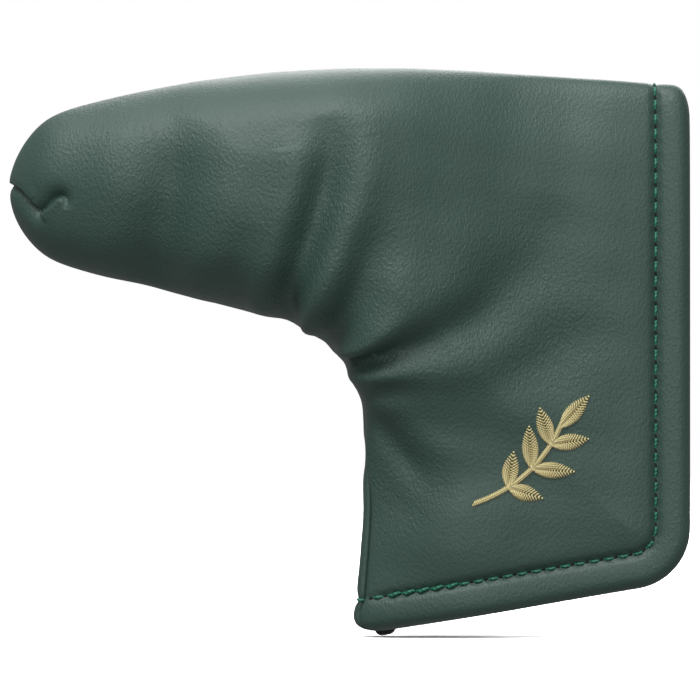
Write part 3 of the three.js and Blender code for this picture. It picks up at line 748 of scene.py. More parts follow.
def dyed_nappa(rgb):
    """Nappa leather, drum-dyed and finished with a thin satin topcoat: fine pebbled grain that shows
    most where it is creased, cloudy colour, and a soft sheen."""
    material, tree = blank("drum_dyed_nappa")
    place = in_millimetres(tree)
    # Grain cells about 0.6 mm across, drawn out a little up the hide.
    hide = add(tree, "ShaderNodeMapping", {"Vector": place, "Scale": (1.7, 1.7, 1.2)}).outputs["Vector"]
    pebble = add(tree, "ShaderNodeTexVoronoi", {"Vector": hide, "Scale": 1.0, "Smoothness": 0.3},
                 feature="SMOOTH_F1")
    pores = add(tree, "ShaderNodeTexNoise", {"Vector": hide, "Scale": 1.9, "Detail": 3.0}).outputs["Fac"]
    # Fine creases, about 0.6 mm apart and drawn out up the hide, deeper where the leather is crumpled.
    drawn = add(tree, "ShaderNodeMapping",
                {"Vector": place, "Rotation": (0, 0.35, 0), "Scale": (1.9, 1.6, 1.2)})
    creases = add(tree, "ShaderNodeTexNoise",
                  {"Vector": drawn.outputs["Vector"], "Scale": 1.0, "Detail": 3.0, "Distortion": 0.4})
    crumple = add(tree, "ShaderNodeAttribute", attribute_name="crumple").outputs["Fac"]
    cloud = add(tree, "ShaderNodeTexNoise", {"Vector": place, "Scale": 0.045, "Detail": 3.0}).outputs["Fac"]
    tint = add(tree, "ShaderNodeMix", {"Factor": cloud, "A": rgba(rgb, 0.9), "B": rgba(rgb, 1.1)},
               data_type="RGBA")
    rough = add(tree, "ShaderNodeMapRange", {"Value": pores, "To Min": 0.4, "To Max": 0.56})
    deep = add(tree, "ShaderNodeMapRange", {"Value": crumple, "To Min": 0.00008, "To Max": 0.00036})
    pebbled = add(tree, "ShaderNodeBump",
                  {"Height": pebble.outputs["Distance"], "Strength": 0.4, "Distance": 0.00018})
    pored = add(tree, "ShaderNodeBump",
                {"Height": pores, "Strength": 0.35, "Distance": 0.0002, "Normal": pebbled.outputs["Normal"]})
    creased = add(tree, "ShaderNodeBump",
                  {"Height": creases.outputs["Fac"], "Strength": 0.8, "Distance": deep.outputs["Result"],
                   "Normal": pored.outputs["Normal"]})
    return finished(material, {
        "Base Color": tint.outputs[2],
        "Roughness": rough.outputs["Result"],
        "Normal": creased.outputs["Normal"],
        "IOR": 1.5,
        "Specular IOR Level": 0.4,
        "Coat Weight": 0.06,
        "Coat Roughness": 0.45,
    })


def twisted_thread(name, rgb, twist, rough):
    """Thread of three twisted plies: slanting ridges, painted shade in the grooves between them and a dull
    lustre along it.
    """
    material, tree = blank(name)
    run = add(tree, "ShaderNodeAttribute", attribute_name="thread_run").outputs["Fac"]
    turn = add(tree, "ShaderNodeAttribute", attribute_name="thread_turn").outputs["Fac"]
    # One ply passes every 1/twist millimetres.
    lay = add(tree, "ShaderNodeMath", {0: run, 1: twist, 2: turn}, operation="MULTIPLY_ADD").outputs[0]
    wave = add(tree, "ShaderNodeMath", {0: lay, 1: 2 * math.pi}, operation="MULTIPLY").outputs[0]
    ply = add(tree, "ShaderNodeMath", {0: wave}, operation="SINE").outputs[0]
    height = add(tree, "ShaderNodeMapRange", {"Value": ply, "From Min": -1.0}).outputs["Result"]
    # Painted shade: the base colour darkens to 0.55 in the grooves between the plies, where the bump also
    # sinks.
    shade = add(tree, "ShaderNodeMix", {"Factor": height, "A": rgba(rgb, 0.55), "B": rgba(rgb, 1.1)},
                data_type="RGBA")
    bump = add(tree, "ShaderNodeBump", {"Height": height, "Strength": 0.8, "Distance": 0.0001})
    look = {"Base Color": shade.outputs[2], "Normal": bump.outputs["Normal"], "Roughness": rough}
    return finished(material, look)


def grained(name, rgb, scale, contrast, bump_mm, rough, more=None):
    """A finish whose look is one fine, even texture: its grains are 1/scale millimetres apart.

    more maps other sockets of the shader to their values.
    """
    material, tree = blank(name)
    grain = {"Vector": in_millimetres(tree), "Scale": scale, "Detail": 4.0}
    noise = add(tree, "ShaderNodeTexNoise", grain).outputs["Fac"]
    ends = {"A": rgba(rgb, 1 - contrast), "B": rgba(rgb, 1 + contrast)}
    shade = add(tree, "ShaderNodeMix", {"Factor": noise, **ends}, data_type="RGBA")
    bump = add(tree, "ShaderNodeBump", {"Height": noise, "Strength": 0.7, "Distance": bump_mm / 1000})
    look = {"Base Color": shade.outputs[2], "Normal": bump.outputs["Normal"], "Roughness": rough}
    return finished(material, {**look, **(more or {})})


def knitted_plush(rgb):
    """Knitted polyester plush with a short upright pile: nearly black, and paler at grazing angles."""
    pile = {"Sheen Weight": 0.5, "Sheen Roughness": 0.4}
    return grained("knitted_plush", rgb, 1.6, 0.5, 0.5, 0.95, pile)


# Operators ------------------------------------------------------------------------------------------

SIDES = [(FRONT, "front"), (REAR, "rear")]
PANEL_COLUMNS = 261
# The leather's edges, turned in along the seam.
FLANGE_COLUMNS = 4
FLANGE_DEPTH = 2.0
FLANGE_LEAN = 0.1
SOFT_COLUMNS = 89
# The leather's inner face has every fourth point of the outer one's.
INNER_STEP = 4
# Where the foam and the lining stop, short of the seams and of the mouth's edge.
FOAM_SEAM_ROOM = 3.0
FOAM_INSET = FOAM_DEPTH + 0.6
LINING_SEAM_ROOM = 0.5
LINING_INSET = HEM_ALLOWANCE + 0.3
# Each side's leather, once it is worked out.
shapes = {}


def leather_rows():
    """u, depth and how much the relief shows at each row: from the toe's tip to the mouth, round the
    hem's half-circle edge and back inside it."""
    radius = HEM_STACK / 2
    toe = np.concatenate([np.linspace(0, 1, 52, endpoint=False), np.linspace(1, 2, 48, endpoint=False)])
    fan = np.linspace(2, 3, 104, endpoint=False)
    strip = u_at(np.linspace(BAND_WIDTH, radius, 31, endpoint=False))
    angle = np.linspace(0, math.pi, 17)
    inside = np.linspace(radius, HEM_ALLOWANCE, 14)[1:]
    u = np.concatenate([toe, fan, strip, u_at(radius * (1 - np.sin(angle))), u_at(inside)])
    plain = len(toe) + len(fan) + len(strip)
    depth = np.concatenate([np.zeros(plain), radius * (1 - np.cos(angle)), np.full(len(inside), HEM_STACK)])
    show = np.concatenate([np.ones(plain), np.cos(angle / 2) ** 2, np.zeros(len(inside))])
    return u, depth, show


def relief_of(side, u, grid, along, total, show):
    """Everything that lifts or lowers a panel's outer face, and how crumpled it is.

    The folds and the swelling die away towards the seams, which hold the panel's outline.
    """
    x, z = grid[..., 0], grid[..., 2]
    folds, crumple = fold_relief(side, x, z)
    rows = u[:, None] + 0 * x
    nearest = np.minimum(along, total[:, None] - along)
    hem = hem_relief(rows, along)
    # The stitches hold the leather flat beside them, and the padding swells beyond.
    away = np.where(BAND_WIDTH * (4 - rows) > HEM_WIDTH, from_stitches(x, z), 0)
    calm = ramp(away, 0, 10)
    share = 1 if side == FRONT else 0.4
    dome = share * size_of("dome") * (1 - np.exp(-away / 12)) * ramp(rows, 1.6, 2.4)
    held = ramp(nearest, 0.5, 13)
    relief = bpy.context.scene.cover_sizes.fold_depth * folds * calm * (0.14 + 0.86 * held)
    relief += soft_unevenness(x, z) * calm * (0.3 + 0.7 * held)
    relief += hem * (0.25 + 0.75 * ramp(nearest, 0, 7.5)) + dome * ramp(nearest, 3, 24)
    return (relief + pleat_relief(side, x, z)) * show[:, None], crumple * calm


def leather_shape(side):
    """A panel's outer face: the points and normals of its grid, the u and depth of its rows, and how
    crumpled it is.

    The leather rolls over along a quarter circle at both seams, and goes on inwards as a flange.
    """
    if side in shapes:
        return shapes[side]
    roll = size_of("seam_roll")
    u, depth, show = leather_rows()
    grid, along, total = panel_grid(side, u, depth, PANEL_COLUMNS, 0.02, roll)
    grid = evened(grid, u, JOINS, 120)
    normal = normals_of(grid)
    # The first row is one point, the toe's tip, which faces straight ahead.
    normal[0] = (-1, 0, 0)
    relief, crumple = relief_of(side, u, grid, along, total, show)
    nearest = np.minimum(along, total[:, None] - along)
    turn = roll - np.sqrt(np.clip(roll**2 - np.clip(roll - nearest, 0, None) ** 2, 0, None))
    turn *= (0.15 + 0.85 * show)[:, None]
    inward = -normal
    inward[show < 1] = inward[np.flatnonzero(show == 1)[-1]]
    grid = grid + normal * relief[..., None] + inward * turn[..., None]
    reach = mix(0.3, FLANGE_DEPTH, show)
    steps = np.linspace(0, 1, FLANGE_COLUMNS + 1)[1:]
    outward = grid[:, [0, -1]] - grid[:, [12, -13]]
    outward /= np.maximum(np.linalg.norm(outward, axis=-1, keepdims=True), 1e-9)
    # The turned-in edges lean on each other, so that no light comes through the seam.
    flange = []
    for end in (0, -1):
        down = inward[:, [end]] * (reach[:, None] * steps)[..., None]
        lean = outward[:, [end]] * (FLANGE_LEAN * show[:, None] * steps)[..., None]
        flange.append(grid[:, [end]] + down + lean)
    outward = np.repeat(outward, FLANGE_COLUMNS, 1)
    facing = np.concatenate([outward[:, :FLANGE_COLUMNS], normals_of(grid), outward[:, FLANGE_COLUMNS:]], 1)
    # Round the hem's edge the ends of the rows crowd together, so they take the nearest sound normal.
    sound = FLANGE_COLUMNS + 16
    facing[show < 1, :sound] = facing[show < 1, sound, None]
    facing[show < 1, -sound:] = facing[show < 1, -sound - 1, None]
    shapes[side] = {
        "u": u,
        "depth": depth,
        "points": np.concatenate([flange[0][:, ::-1], grid, flange[1]], 1),
        "normals": facing,
        "crumple": np.pad(crumple, ((0, 0), (FLANGE_COLUMNS, FLANGE_COLUMNS)), mode="edge"),
    }
    return shapes[side]


class COVER_OT_leather(bpy.types.Operator):
    """Two leather panels, each cut in one piece and folded under along the mouth"""

    bl_idname = "cover.leather"
    bl_label = "Leather panels"

    def execute(self, context):
        material = dyed_nappa(context.scene.cover_colours.leather)
        for side, word in SIDES:
            shape = leather_shape(side)
            outer = shape["points"]
            inner = (outer - shape["normals"] * LEATHER)[::INNER_STEP, ::INNER_STEP]
            points, faces = closed_sheet(outer, inner, INNER_STEP)
            crumple = np.concatenate([shape["crumple"].ravel(), np.zeros(inner[..., 0].size)])
            nodes = [f"{word}_leather_body", f"{word}_leather_flap"]
            made = piece(f"{word}_leather", points, faces, material, nodes, WELD,
                         {"crumple": crumple})
            bend(made, side)
        return {"FINISHED"}


def soft_layer(side, outer_depth, thickness, last_inset, room):
    """A padded layer's two faces: the panel at two depths, carried in and out with its relief."""
    u = np.concatenate([np.linspace(0, 1, 20, endpoint=False), np.linspace(1, 2, 24, endpoint=False),
                        np.linspace(2, 3, 56, endpoint=False), u_at(np.linspace(BAND_WIDTH, last_inset, 13))])
    faces = []
    for depth in (outer_depth, outer_depth + thickness):
        grid, along, total = panel_grid(side, u, np.full(len(u), depth), SOFT_COLUMNS, room, 1.0)
        grid = evened(grid, u, JOINS, 20)
        normal = normals_of(grid)
        normal[0] = (-1, 0, 0)
        relief, _ = relief_of(side, u, grid, along, total, np.ones(len(u)))
        faces.append(grid + normal * np.clip(relief, -3, 0.5)[..., None])
    return faces


class COVER_OT_padding(bpy.types.Operator):
    """Foam under each leather panel, and the plush lining inside it"""

    bl_idname = "cover.padding"
    bl_label = "Foam and lining"

    def execute(self, context):
        # Polyurethane foam, cut from a slab: pale, matt and full of fine open cells.
        foam = grained("slabstock_foam", linear("#d9d3c2"), 2.2, 0.16, 0.4, 0.95)
        plush = knitted_plush(context.scene.cover_colours.lining)
        for side, word in SIDES:
            outer, inner = soft_layer(side, FOAM_DEPTH, FOAM, FOAM_INSET, FOAM_SEAM_ROOM)
            points, faces = closed_sheet(outer, inner, 1)
            nodes = [f"{word}_foam_body", f"{word}_foam_flap"]
            made = piece(f"{word}_foam", points, faces, foam, nodes, WELD)
            bend(made, side)
            outer, inner = soft_layer(side, LINING_DEPTH, LINING, LINING_INSET, LINING_SEAM_ROOM)
            points, faces = closed_sheet(outer, inner, 1)
            nodes = [f"{word}_lining_body", f"{word}_lining_flap"]
            bend(piece(f"{word}_lining", points, faces, plush, nodes, WELD), side)
        return {"FINISHED"}


def line_at(shape, inset, depth=0.0):
    """The panel's outer face, or the hem's inner one, along one inset from the mouth's edge."""
    rows = np.flatnonzero(shape["depth"] == depth)
    inset_of = BAND_WIDTH * (4 - shape["u"][rows])
    order = np.argsort(inset_of)
    rows, inset_of = rows[order], inset_of[order]
    k = np.searchsorted(inset_of, inset) - 1
    t = (inset - inset_of[k]) / (inset_of[k + 1] - inset_of[k])
    cut = slice(FLANGE_COLUMNS, -FLANGE_COLUMNS)
    return [mix(shape[key][rows[k], cut], shape[key][rows[k + 1], cut], t) for key in ("points", "normals")]


def resampled(values, run, at):
    """Rows of values at other runs."""
    return np.stack([np.interp(at, run, values[:, k]) for k in range(values.shape[1])], -1)


def stitches(line, normal, pitch, radius, lift, swing=0.0, first=0.0, last=math.inf):
    """A row of stitches along a line, from first to last: each an arch that dives at both ends.

    The arch is a cubic of the way from its middle, and swing slants each stitch across the line.
    """
    run = run_along(line)
    starts = np.arange(first, min(last, run[-1]) - pitch, pitch)
    share = np.linspace(0, 1, 9)
    at = starts[:, None] + pitch * (0.06 + 0.88 * share)[None]
    centres = resampled(line, run, at.ravel()).reshape(*at.shape, 3)
    up = resampled(normal, run, at.ravel()).reshape(*at.shape, 3)
    up /= np.linalg.norm(up, axis=-1, keepdims=True)
    tangent = np.gradient(centres, axis=1)
    tangent /= np.linalg.norm(tangent, axis=-1, keepdims=True)
    aside = np.cross(tangent, up)
    arch = lift - (lift + 0.55) * np.abs(2 * share - 1) ** 3
    slant = swing * (2 * share - 1)
    centres = centres + up * arch[None, :, None] + aside * slant[None, :, None]
    thick = radius * (1 - 0.35 * np.abs(2 * share - 1) ** 2)
    ends = np.append(starts, starts[-1] + pitch)
    holes = resampled(line, run, ends)
    ahead = resampled(line, run, ends + 0.1) - holes
    return tubes(centres, up, thick[None]), holes, resampled(normal, run, ends), ahead


def joined(parts):
    """Several bodies, each points, faces and attributes, as one."""
    points, faces, attributes, base = [], [], {}, 0
    for part_points, part_faces, part_attributes in parts:
        points.append(part_points)
        faces += [block + base for block in part_faces]
        base += len(part_points)
        for key, values in part_attributes.items():
            attributes.setdefault(key, []).append(values)
    return np.vstack(points), faces, {key: np.concatenate(values) for key, values in attributes.items()}


def beads(centres, normal, ahead, size):
    """Flattened balls, a little askew, such as the mouths of needle holes: size is long, wide and deep."""
    normal = normal / np.linalg.norm(normal, axis=-1, keepdims=True)
    ahead = ahead - normal * np.sum(ahead * normal, -1, keepdims=True)
    ahead /= np.linalg.norm(ahead, axis=-1, keepdims=True)
    aside = np.cross(normal, ahead)
    ahead, aside = ahead * 0.88 + aside * 0.47, aside * 0.88 - ahead * 0.47
    rings, sides = 4, 10
    lat = np.linspace(-math.pi / 2, math.pi / 2, rings + 2)[1:-1]
    lon = np.linspace(0, 2 * math.pi, sides, endpoint=False)
    ring = np.stack([
        (np.cos(lat)[:, None] * np.cos(lon)) * size[0],
        (np.cos(lat)[:, None] * np.sin(lon)) * size[1],
        (np.sin(lat)[:, None] + 0 * lon) * size[2],
    ], -1)
    local = np.concatenate([ring.reshape(-1, 3), [[0, 0, -size[2]], [0, 0, size[2]]]])
    axes = np.stack([ahead, aside, normal], 1)
    points = centres[:, None] + np.einsum("kc,ncd->nkd", local, axes)
    numbers = np.arange(rings * sides).reshape(rings, sides)
    wrapped = np.hstack([numbers, numbers[:, :1]])
    low = np.stack([np.full(sides, rings * sides), wrapped[0, 1:], wrapped[0, :-1]], -1)
    high = np.stack([np.full(sides, rings * sides + 1), wrapped[-1, :-1], wrapped[-1, 1:]], -1)
    base = np.arange(len(centres))[:, None, None] * len(local)
    blocks = (grid_faces(wrapped)[:, ::-1], low, high)
    return points.reshape(-1, 3), [(block[None] + base).reshape(-1, block.shape[1]) for block in blocks]


# How high the stitches stand over the leather, how far each slants across the row, and the thread's
# turns to a millimetre.
STITCH_LIFT = 0.2
STITCH_SLANT = 0.1
THREAD_TWIST = 1.1
SEAM_PITCH = 3.0
# A needle hole, long, wide and deep, drawn out by the thread that pulls on it.
HOLE_SIZE = (0.62, 0.36, 0.16)
# Where the back-tack starts and ends, from the neck end of the row, and how it lies over the first row.
BACK_TACK_START = 24.0
BACK_TACK_END = 4.0
BACK_TACK_LIFT = 0.4
BACK_TACK_SLANT = -0.28


class COVER_OT_hem_stitching(bpy.types.Operator):
    """Two rows of hem stitches on each panel, outside and inside, with painted shade discs for their needle
    holes
    """

    bl_idname = "cover.hem_stitching"
    bl_label = "Hem stitching"

    def execute(self, context):
        # Bonded polyester: three plies twisted tightly and sealed, so smooth and a little lustrous.
        colour_of_thread = context.scene.cover_colours.thread
        thread = twisted_thread("bonded_polyester_thread", colour_of_thread, THREAD_TWIST, 0.5)
        # Painted shade: a near-black disc sunk into the leather at each needle hole stands for the hole's
        # shadowed mouth.
        hole_shade = grained("painted_hole_shade", linear("#0b1110"), 1.5, 0.2, 0.1, 0.9)
        radius, pitch = size_of("thread_radius"), size_of("stitch_pitch")
        for side, word in SIDES:
            shape = leather_shape(side)
            line, normal = line_at(shape, HEM_WIDTH)
            outside, holes, hole_up, ahead = stitches(line, normal, pitch, radius, STITCH_LIFT, STITCH_SLANT)
            # The back-tack goes over the last stitches but one again, through the same holes.
            run = run_along(line)[-1]
            first = pitch * math.ceil((run - BACK_TACK_START) / pitch)
            back, *_ = stitches(line + normal * 0.18, normal, pitch, radius * 1.15, BACK_TACK_LIFT,
                                BACK_TACK_SLANT, first, run - BACK_TACK_END)
            points, faces, attributes = joined([outside, back])
            nodes = [f"{word}_hem_stitch"] + (["top_hem_stitch", "neck_hem_stitch"] if side == FRONT else [])
            made = piece(f"{word}_hem_stitching", points, faces, thread, nodes, 0, attributes)
            bend(made, side)
            # Painted shade: one dark disc in each needle hole.
            points, faces = beads(holes + hole_up * 0.02, hole_up, ahead, HOLE_SIZE)
            bend(piece(f"{word}_needle_hole_shade", points, faces, hole_shade), side)
            line, normal = line_at(shape, HEM_WIDTH, HEM_STACK)
            inside, *_ = stitches(line[8:-8], normal[8:-8], pitch, radius, STITCH_LIFT, STITCH_SLANT, 1.4)
            points, faces, attributes = inside
            nodes = [f"{word}_hem_bobbin_thread"]
            made = piece(f"{word}_bobbin_stitching", points, faces, thread, nodes, 0, attributes)
            bend(made, side)
        return {"FINISHED"}


class COVER_OT_joining_seam(bpy.types.Operator):
    """The seam's two threads, along the turned-in edges inside the cover"""

    bl_idname = "cover.joining_seam"
    bl_label = "Joining seam"

    def execute(self, context):
        thread = twisted_thread("seam_thread", context.scene.cover_colours.thread, THREAD_TWIST, 0.5)
        radius = size_of("thread_radius") * 0.8
        # Every other row, from just inside the toe's tip to short of the mouth's strip.
        rows = slice(6, 190, 2)
        for side, name in ((FRONT, "joining_seam_thread"), (REAR, "joining_seam_bobbin_thread")):
            shape = leather_shape(side)
            parts = []
            for column in (1, -2):
                away = -shape["normals"][rows, column]
                line = shape["points"][rows, column] + away * (LEATHER + 0.45)
                body, *_ = stitches(line, away, SEAM_PITCH, radius, 0.05)
                parts.append(body)
            points, faces, attributes = joined(parts)
            made = piece(f"{name}_stitches", points, faces, thread, [name], 0, attributes)
            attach(made, "cover_body")
        return {"FINISHED"}


def over_panel(x, z):
    """The front leather's outer face and its normal over points of the plan.

    The nearest point of its grid on the flap, carried along its own tangent plane.
    """
    shape = leather_shape(FRONT)
    rows = np.flatnonzero((shape["u"] > 2.3) & (shape["u"] < 3.3))
    points = shape["points"][rows][:, 20:-20].reshape(-1, 3)
    normals = shape["normals"][rows][:, 20:-20].reshape(-1, 3)
    away = (points[None, :, 0] - x.ravel()[:, None]) ** 2 + (points[None, :, 2] - z.ravel()[:, None]) ** 2
    near = np.argmin(away, 1)
    p, n = points[near], normals[near]
    y = p[:, 1] - (n[:, 0] * (x.ravel() - p[:, 0]) + n[:, 2] * (z.ravel() - p[:, 2])) / n[:, 1]
    return np.stack([x.ravel(), y, z.ravel()], -1).reshape(*x.shape, 3), n.reshape(*x.shape, 3)


MOTIF_BASE = np.array([-6.0, -69.0])
MOTIF_TIP = np.array([13.0, -52.0])
MOTIF_LEAN = math.atan2(*(MOTIF_TIP - MOTIF_BASE)[::-1])
LEAF_LENGTH = 9.5
# How far the curve of a leaf's edge is drawn out on each side.
LEAF_WIDTH = 3.6
STEM_BOW = np.array([4.0, -4.0])
STEM_LENGTH = 27
STEM_WIDTH = 1.3
SATIN_RADIUS = 0.21
PATCH_LENGTH = 34.0
PATCH_WIDTH = 19.0
PATCH_GAP = 0.12
PATCH_THICKNESS = 0.2


def stem_curve(t):
    """A quadratic curve from the stem's foot to its tip, bowed to one side, and its direction."""
    bow = (MOTIF_BASE + MOTIF_TIP) / 2 + STEM_BOW
    t = np.asarray(t, float)[..., None]
    point = (1 - t) ** 2 * MOTIF_BASE + 2 * t * (1 - t) * bow + t**2 * MOTIF_TIP
    way = 2 * (1 - t) * (bow - MOTIF_BASE) + 2 * t * (MOTIF_TIP - bow)
    return point, way / np.linalg.norm(way, axis=-1, keepdims=True)


def satin_leaf(foot, angle, size, pitch):
    """Ends of the satin stitches that fill a leaf, from its midrib out to its edge on both sides.

    The edge is a quadratic curve from the leaf's foot to its point.
    """
    t = np.linspace(0.04, 0.985, int(size / pitch))
    out_x = 2 * t * (1 - t) * 0.45 * size + t**2 * size
    out_y = 2 * t * (1 - t) * LEAF_WIDTH
    in_x = np.clip(out_x - 0.95 * out_y, 0.1, None)
    turn = np.array([[math.cos(angle), -math.sin(angle)], [math.sin(angle), math.cos(angle)]])
    rows = []
    for sign in (1, -1):
        start = np.stack([in_x, 0 * in_x - sign * 0.12], -1) @ turn.T + foot
        end = np.stack([out_x, sign * out_y], -1) @ turn.T + foot
        rows.append(np.stack([start, end], 1))
    return np.concatenate(rows)


def sprig_stitches(pitch):
    """Ends of every stitch of the sprig: seven leaves, and slanting stitches along the stem."""
    tip, _ = stem_curve(0.98)
    rows = [satin_leaf(tip, MOTIF_LEAN + 0.1, LEAF_LENGTH, pitch)]
    for share, size in ((0.3, 0.85), (0.56, 1.0), (0.82, 0.9)):
        foot, way = stem_curve(share)
        for sign in (1, -1):
            rows.append(satin_leaf(foot, math.atan2(way[1], way[0]) + sign * 0.85, size * LEAF_LENGTH, pitch))
    t = np.linspace(0, 1, int(STEM_LENGTH / pitch))
    foot, way = stem_curve(t)
    aside = np.stack([-way[:, 1], way[:, 0]], -1)
    slant = 0.45 * aside + 0.5 * way
    rows.append(np.stack([foot - slant * STEM_WIDTH * 0.9, foot + slant * STEM_WIDTH * 0.9], 1))
    return np.concatenate(rows)


class COVER_OT_embroidery(bpy.types.Operator):
    """A leafy sprig in satin stitch on the front flap, and the stabiliser behind it"""

    bl_idname = "cover.embroidery"
    bl_label = "Embroidered sprig"

    def execute(self, context):
        # Rayon embroidery thread: bright, silky and loosely twisted, each thread about 0.4 mm.
        rayon = twisted_thread("rayon_embroidery_thread", context.scene.cover_colours.embroidery, 1.7, 0.42)
        ends = sprig_stitches(size_of("satin_pitch"))
        share = np.linspace(0, 1, 7)
        plan = ends[:, :1] + (ends[:, 1:] - ends[:, :1]) * share[None, :, None]
        points, up = over_panel(plan[..., 0], plan[..., 1])
        arch = 0.34 - 0.5 * np.abs(2 * share - 1) ** 4
        centres = points + up * arch[None, :, None]
        thick = SATIN_RADIUS * (1 - 0.25 * np.abs(2 * share - 1) ** 2)
        points, faces, attributes = tubes(centres, up, thick[None], 6)
        nodes = ["embroidered_sprig"]
        bend(piece("sprig_embroidery", points, faces, rayon, nodes, 0, attributes), FRONT)
        # Non-woven polyester stabiliser: soft, white and slightly fibrous.
        stabiliser = grained("nonwoven_stabiliser", linear("#e6e4dd"), 1.2, 0.1, 0.2, 0.9)
        angle = np.linspace(0, 2 * math.pi, 49)
        ring = np.linspace(0.02, 1, 9)[:, None]
        middle = (MOTIF_BASE + MOTIF_TIP) / 2 + np.array([2.5, 2.0])
        a, b = PATCH_LENGTH / 2 * ring * np.cos(angle), PATCH_WIDTH / 2 * ring * np.sin(angle)
        x = middle[0] + a * math.cos(MOTIF_LEAN) - b * math.sin(MOTIF_LEAN)
        z = middle[1] + a * math.sin(MOTIF_LEAN) + b * math.cos(MOTIF_LEAN)
        points, up = over_panel(x, z)
        near = points - up * (LEATHER + PATCH_GAP)
        points, faces = closed_sheet(near, near - up * PATCH_THICKNESS, 1)
        nodes = ["embroidery_backing"]
        bend(piece("stabiliser_patch", points, faces, stabiliser, nodes, 0.005), FRONT)
        return {"FINISHED"}


def lathe(centre, axis, profile, count=32):
    """A profile of radius and height turned round an axis."""
    axis = axis / np.linalg.norm(axis)
    first = np.cross(axis, (0, 0, 1.0))
    first /= np.linalg.norm(first)
    second = np.cross(axis, first)
    angle = np.linspace(0, 2 * math.pi, count, endpoint=False)[:, None]
    r, h = np.array(profile).T
    ring = (
        centre
        + (np.cos(angle) * r)[..., None] * first
        + (np.sin(angle) * r)[..., None] * second
        + (0 * angle + h)[..., None] * axis
    )
    numbers = np.arange(count * len(r)).reshape(count, len(r))
    wrapped = np.vstack([numbers, numbers[:1]])
    caps = [numbers[:, 0][None], numbers[:, -1][None, ::-1]]
    return ring.reshape(-1, 3), [grid_faces(wrapped)[:, ::-1], *caps], {}


# How deep a magnet's middle lies under the leather's inner face.
MAGNET_DEPTH = 0.9
# Each outline is radius and height. The magnet's rim is rounded.
MAGNET_OUTLINE = [(4.7, -0.5), (4.92, -0.42), (5, -0.25), (5, 0.25), (4.92, 0.42), (4.7, 0.5)]
# The pouch lies behind its magnet, and its sewn margin stands out round it.
POUCH_OUTLINE = [(0.2, -0.62), (5.4, -0.65), (7, -0.75), (7, -0.95), (5.4, -0.95), (0.2, -0.92)]


class COVER_OT_magnets(bpy.types.Operator):
    """Three thin disc magnets in each flap, and the fabric pouches that hold them"""

    bl_idname = "cover.magnets"
    bl_label = "Magnets and pouches"

    def execute(self, context):
        # Sintered neodymium, nickel plated: bright, slightly warm and nearly mirror smooth.
        nickel = grained("nickel_plated_neodymium", linear("#c3c0b8"), 0.8, 0.05, 0.01, 0.22,
                         {"Metallic": 1.0})
        # Woven polyester pocketing: black and matt, with a weave too fine to show.
        pocketing = grained("woven_pocketing", linear("#232625"), 2.4, 0.3, 0.15, 0.85)
        for side, word in SIDES:
            shape = leather_shape(side)
            rows = np.flatnonzero(shape["depth"] == 0)
            magnets, pouches = [], []
            for k in (1, 2, 3):
                low, high = (np.array(v) * 1000 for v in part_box(f"{word}_magnet_{k}"))
                centre = (low + high) / 2
                gap = np.linalg.norm(shape["points"][rows][..., [0, 2]] - centre[[0, 2]], axis=-1)
                row, column = np.unravel_index(np.argmin(gap), gap.shape)
                face, axis = shape["points"][rows[row], column], shape["normals"][rows[row], column]
                seat = face - axis * (LEATHER + MAGNET_DEPTH)
                magnets.append(lathe(seat, axis, MAGNET_OUTLINE))
                pouches.append(lathe(seat, axis, POUCH_OUTLINE))
            points, faces, _ = joined(magnets)
            nodes = [f"{word}_magnet_{k}" for k in (1, 2, 3)]
            bend(piece(f"{word}_magnets", points, faces, nickel, nodes), side)
            points, faces, _ = joined(pouches)
            nodes = [f"{word}_magnet_pouch_{k}" for k in (1, 2, 3)]
            bend(piece(f"{word}_pouches", points, faces, pocketing, nodes), side)
        return {"FINISHED"}


# The corner of lining: where it sits, and how far it reaches along each axis.
CORNER_PLACE = (-25.2, -0.2, -94.0)
CORNER_REACH = (2.9, 1.1, 4.3)


class COVER_OT_lining_corner(bpy.types.Operator):
    """The corner of lining that shows below the hem by the neck"""

    bl_idname = "cover.lining_corner"
    bl_label = "Lining corner"

    def execute(self, context):
        plush = knitted_plush(context.scene.cover_colours.lining)
        # A flattened lump, fuller than a ball: an ellipse in plan, bent a little, and tilted.
        turn = np.linspace(0, 2 * math.pi, 33)[None]
        rise = np.linspace(-math.pi / 2, math.pi / 2, 17)[:, None]
        bulk = np.cos(rise) ** 0.6
        x = (CORNER_REACH[0] * np.cos(turn) + 0.3 * np.sin(2 * turn)) * bulk
        y = CORNER_REACH[1] * np.sin(turn) * bulk
        z = CORNER_REACH[2] * np.sin(rise) + 0.45 * np.cos(turn) * bulk
        grid = np.stack(np.broadcast_arrays(x, y, z), -1) + CORNER_PLACE
        numbers = np.arange(grid.shape[0] * grid.shape[1]).reshape(grid.shape[:2])
        made = piece("lining_corner", grid.reshape(-1, 3), [grid_faces(numbers)], plush, (), 0.01)
        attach(made, "cover_body")
        return {"FINISHED"}


# Each light's place from the cover's middle and its width and height in metres, then its watts.
PAPER_WASH = ("paper_wash", (0, 0, 2.0), (6.0, 6.0), 300.0)
SOFTBOXES = [
    ("overhead_softbox", (-0.15, -0.1, 0.9), (1.2, 0.6), 4.6),
    ("front_softbox", (-0.25, -0.75, 1.0), (1.0, 0.5), 14.0),
    ("camera_fill", (0.15, -1.4, 0.25), (1.2, 0.9), 7.0),
    ("rear_softbox", (0.25, 0.9, 0.7), (1.0, 0.8), 10.0),
]
# The floor's sizes, and how far it lies below the cover.
FLOOR_REACH = 1500
FLOOR_THICKNESS = 2.0
FLOOR_GAP = 0.3
# The camera's distance and its place right of the middle, in metres, its sensor's width in
# millimetres, and how much wider than the cover its view is there.
CAMERA_DISTANCE = 1.2
CAMERA_RIGHT = 0.0002
CAMERA_SENSOR = 36
CAMERA_MARGIN = 1.0295


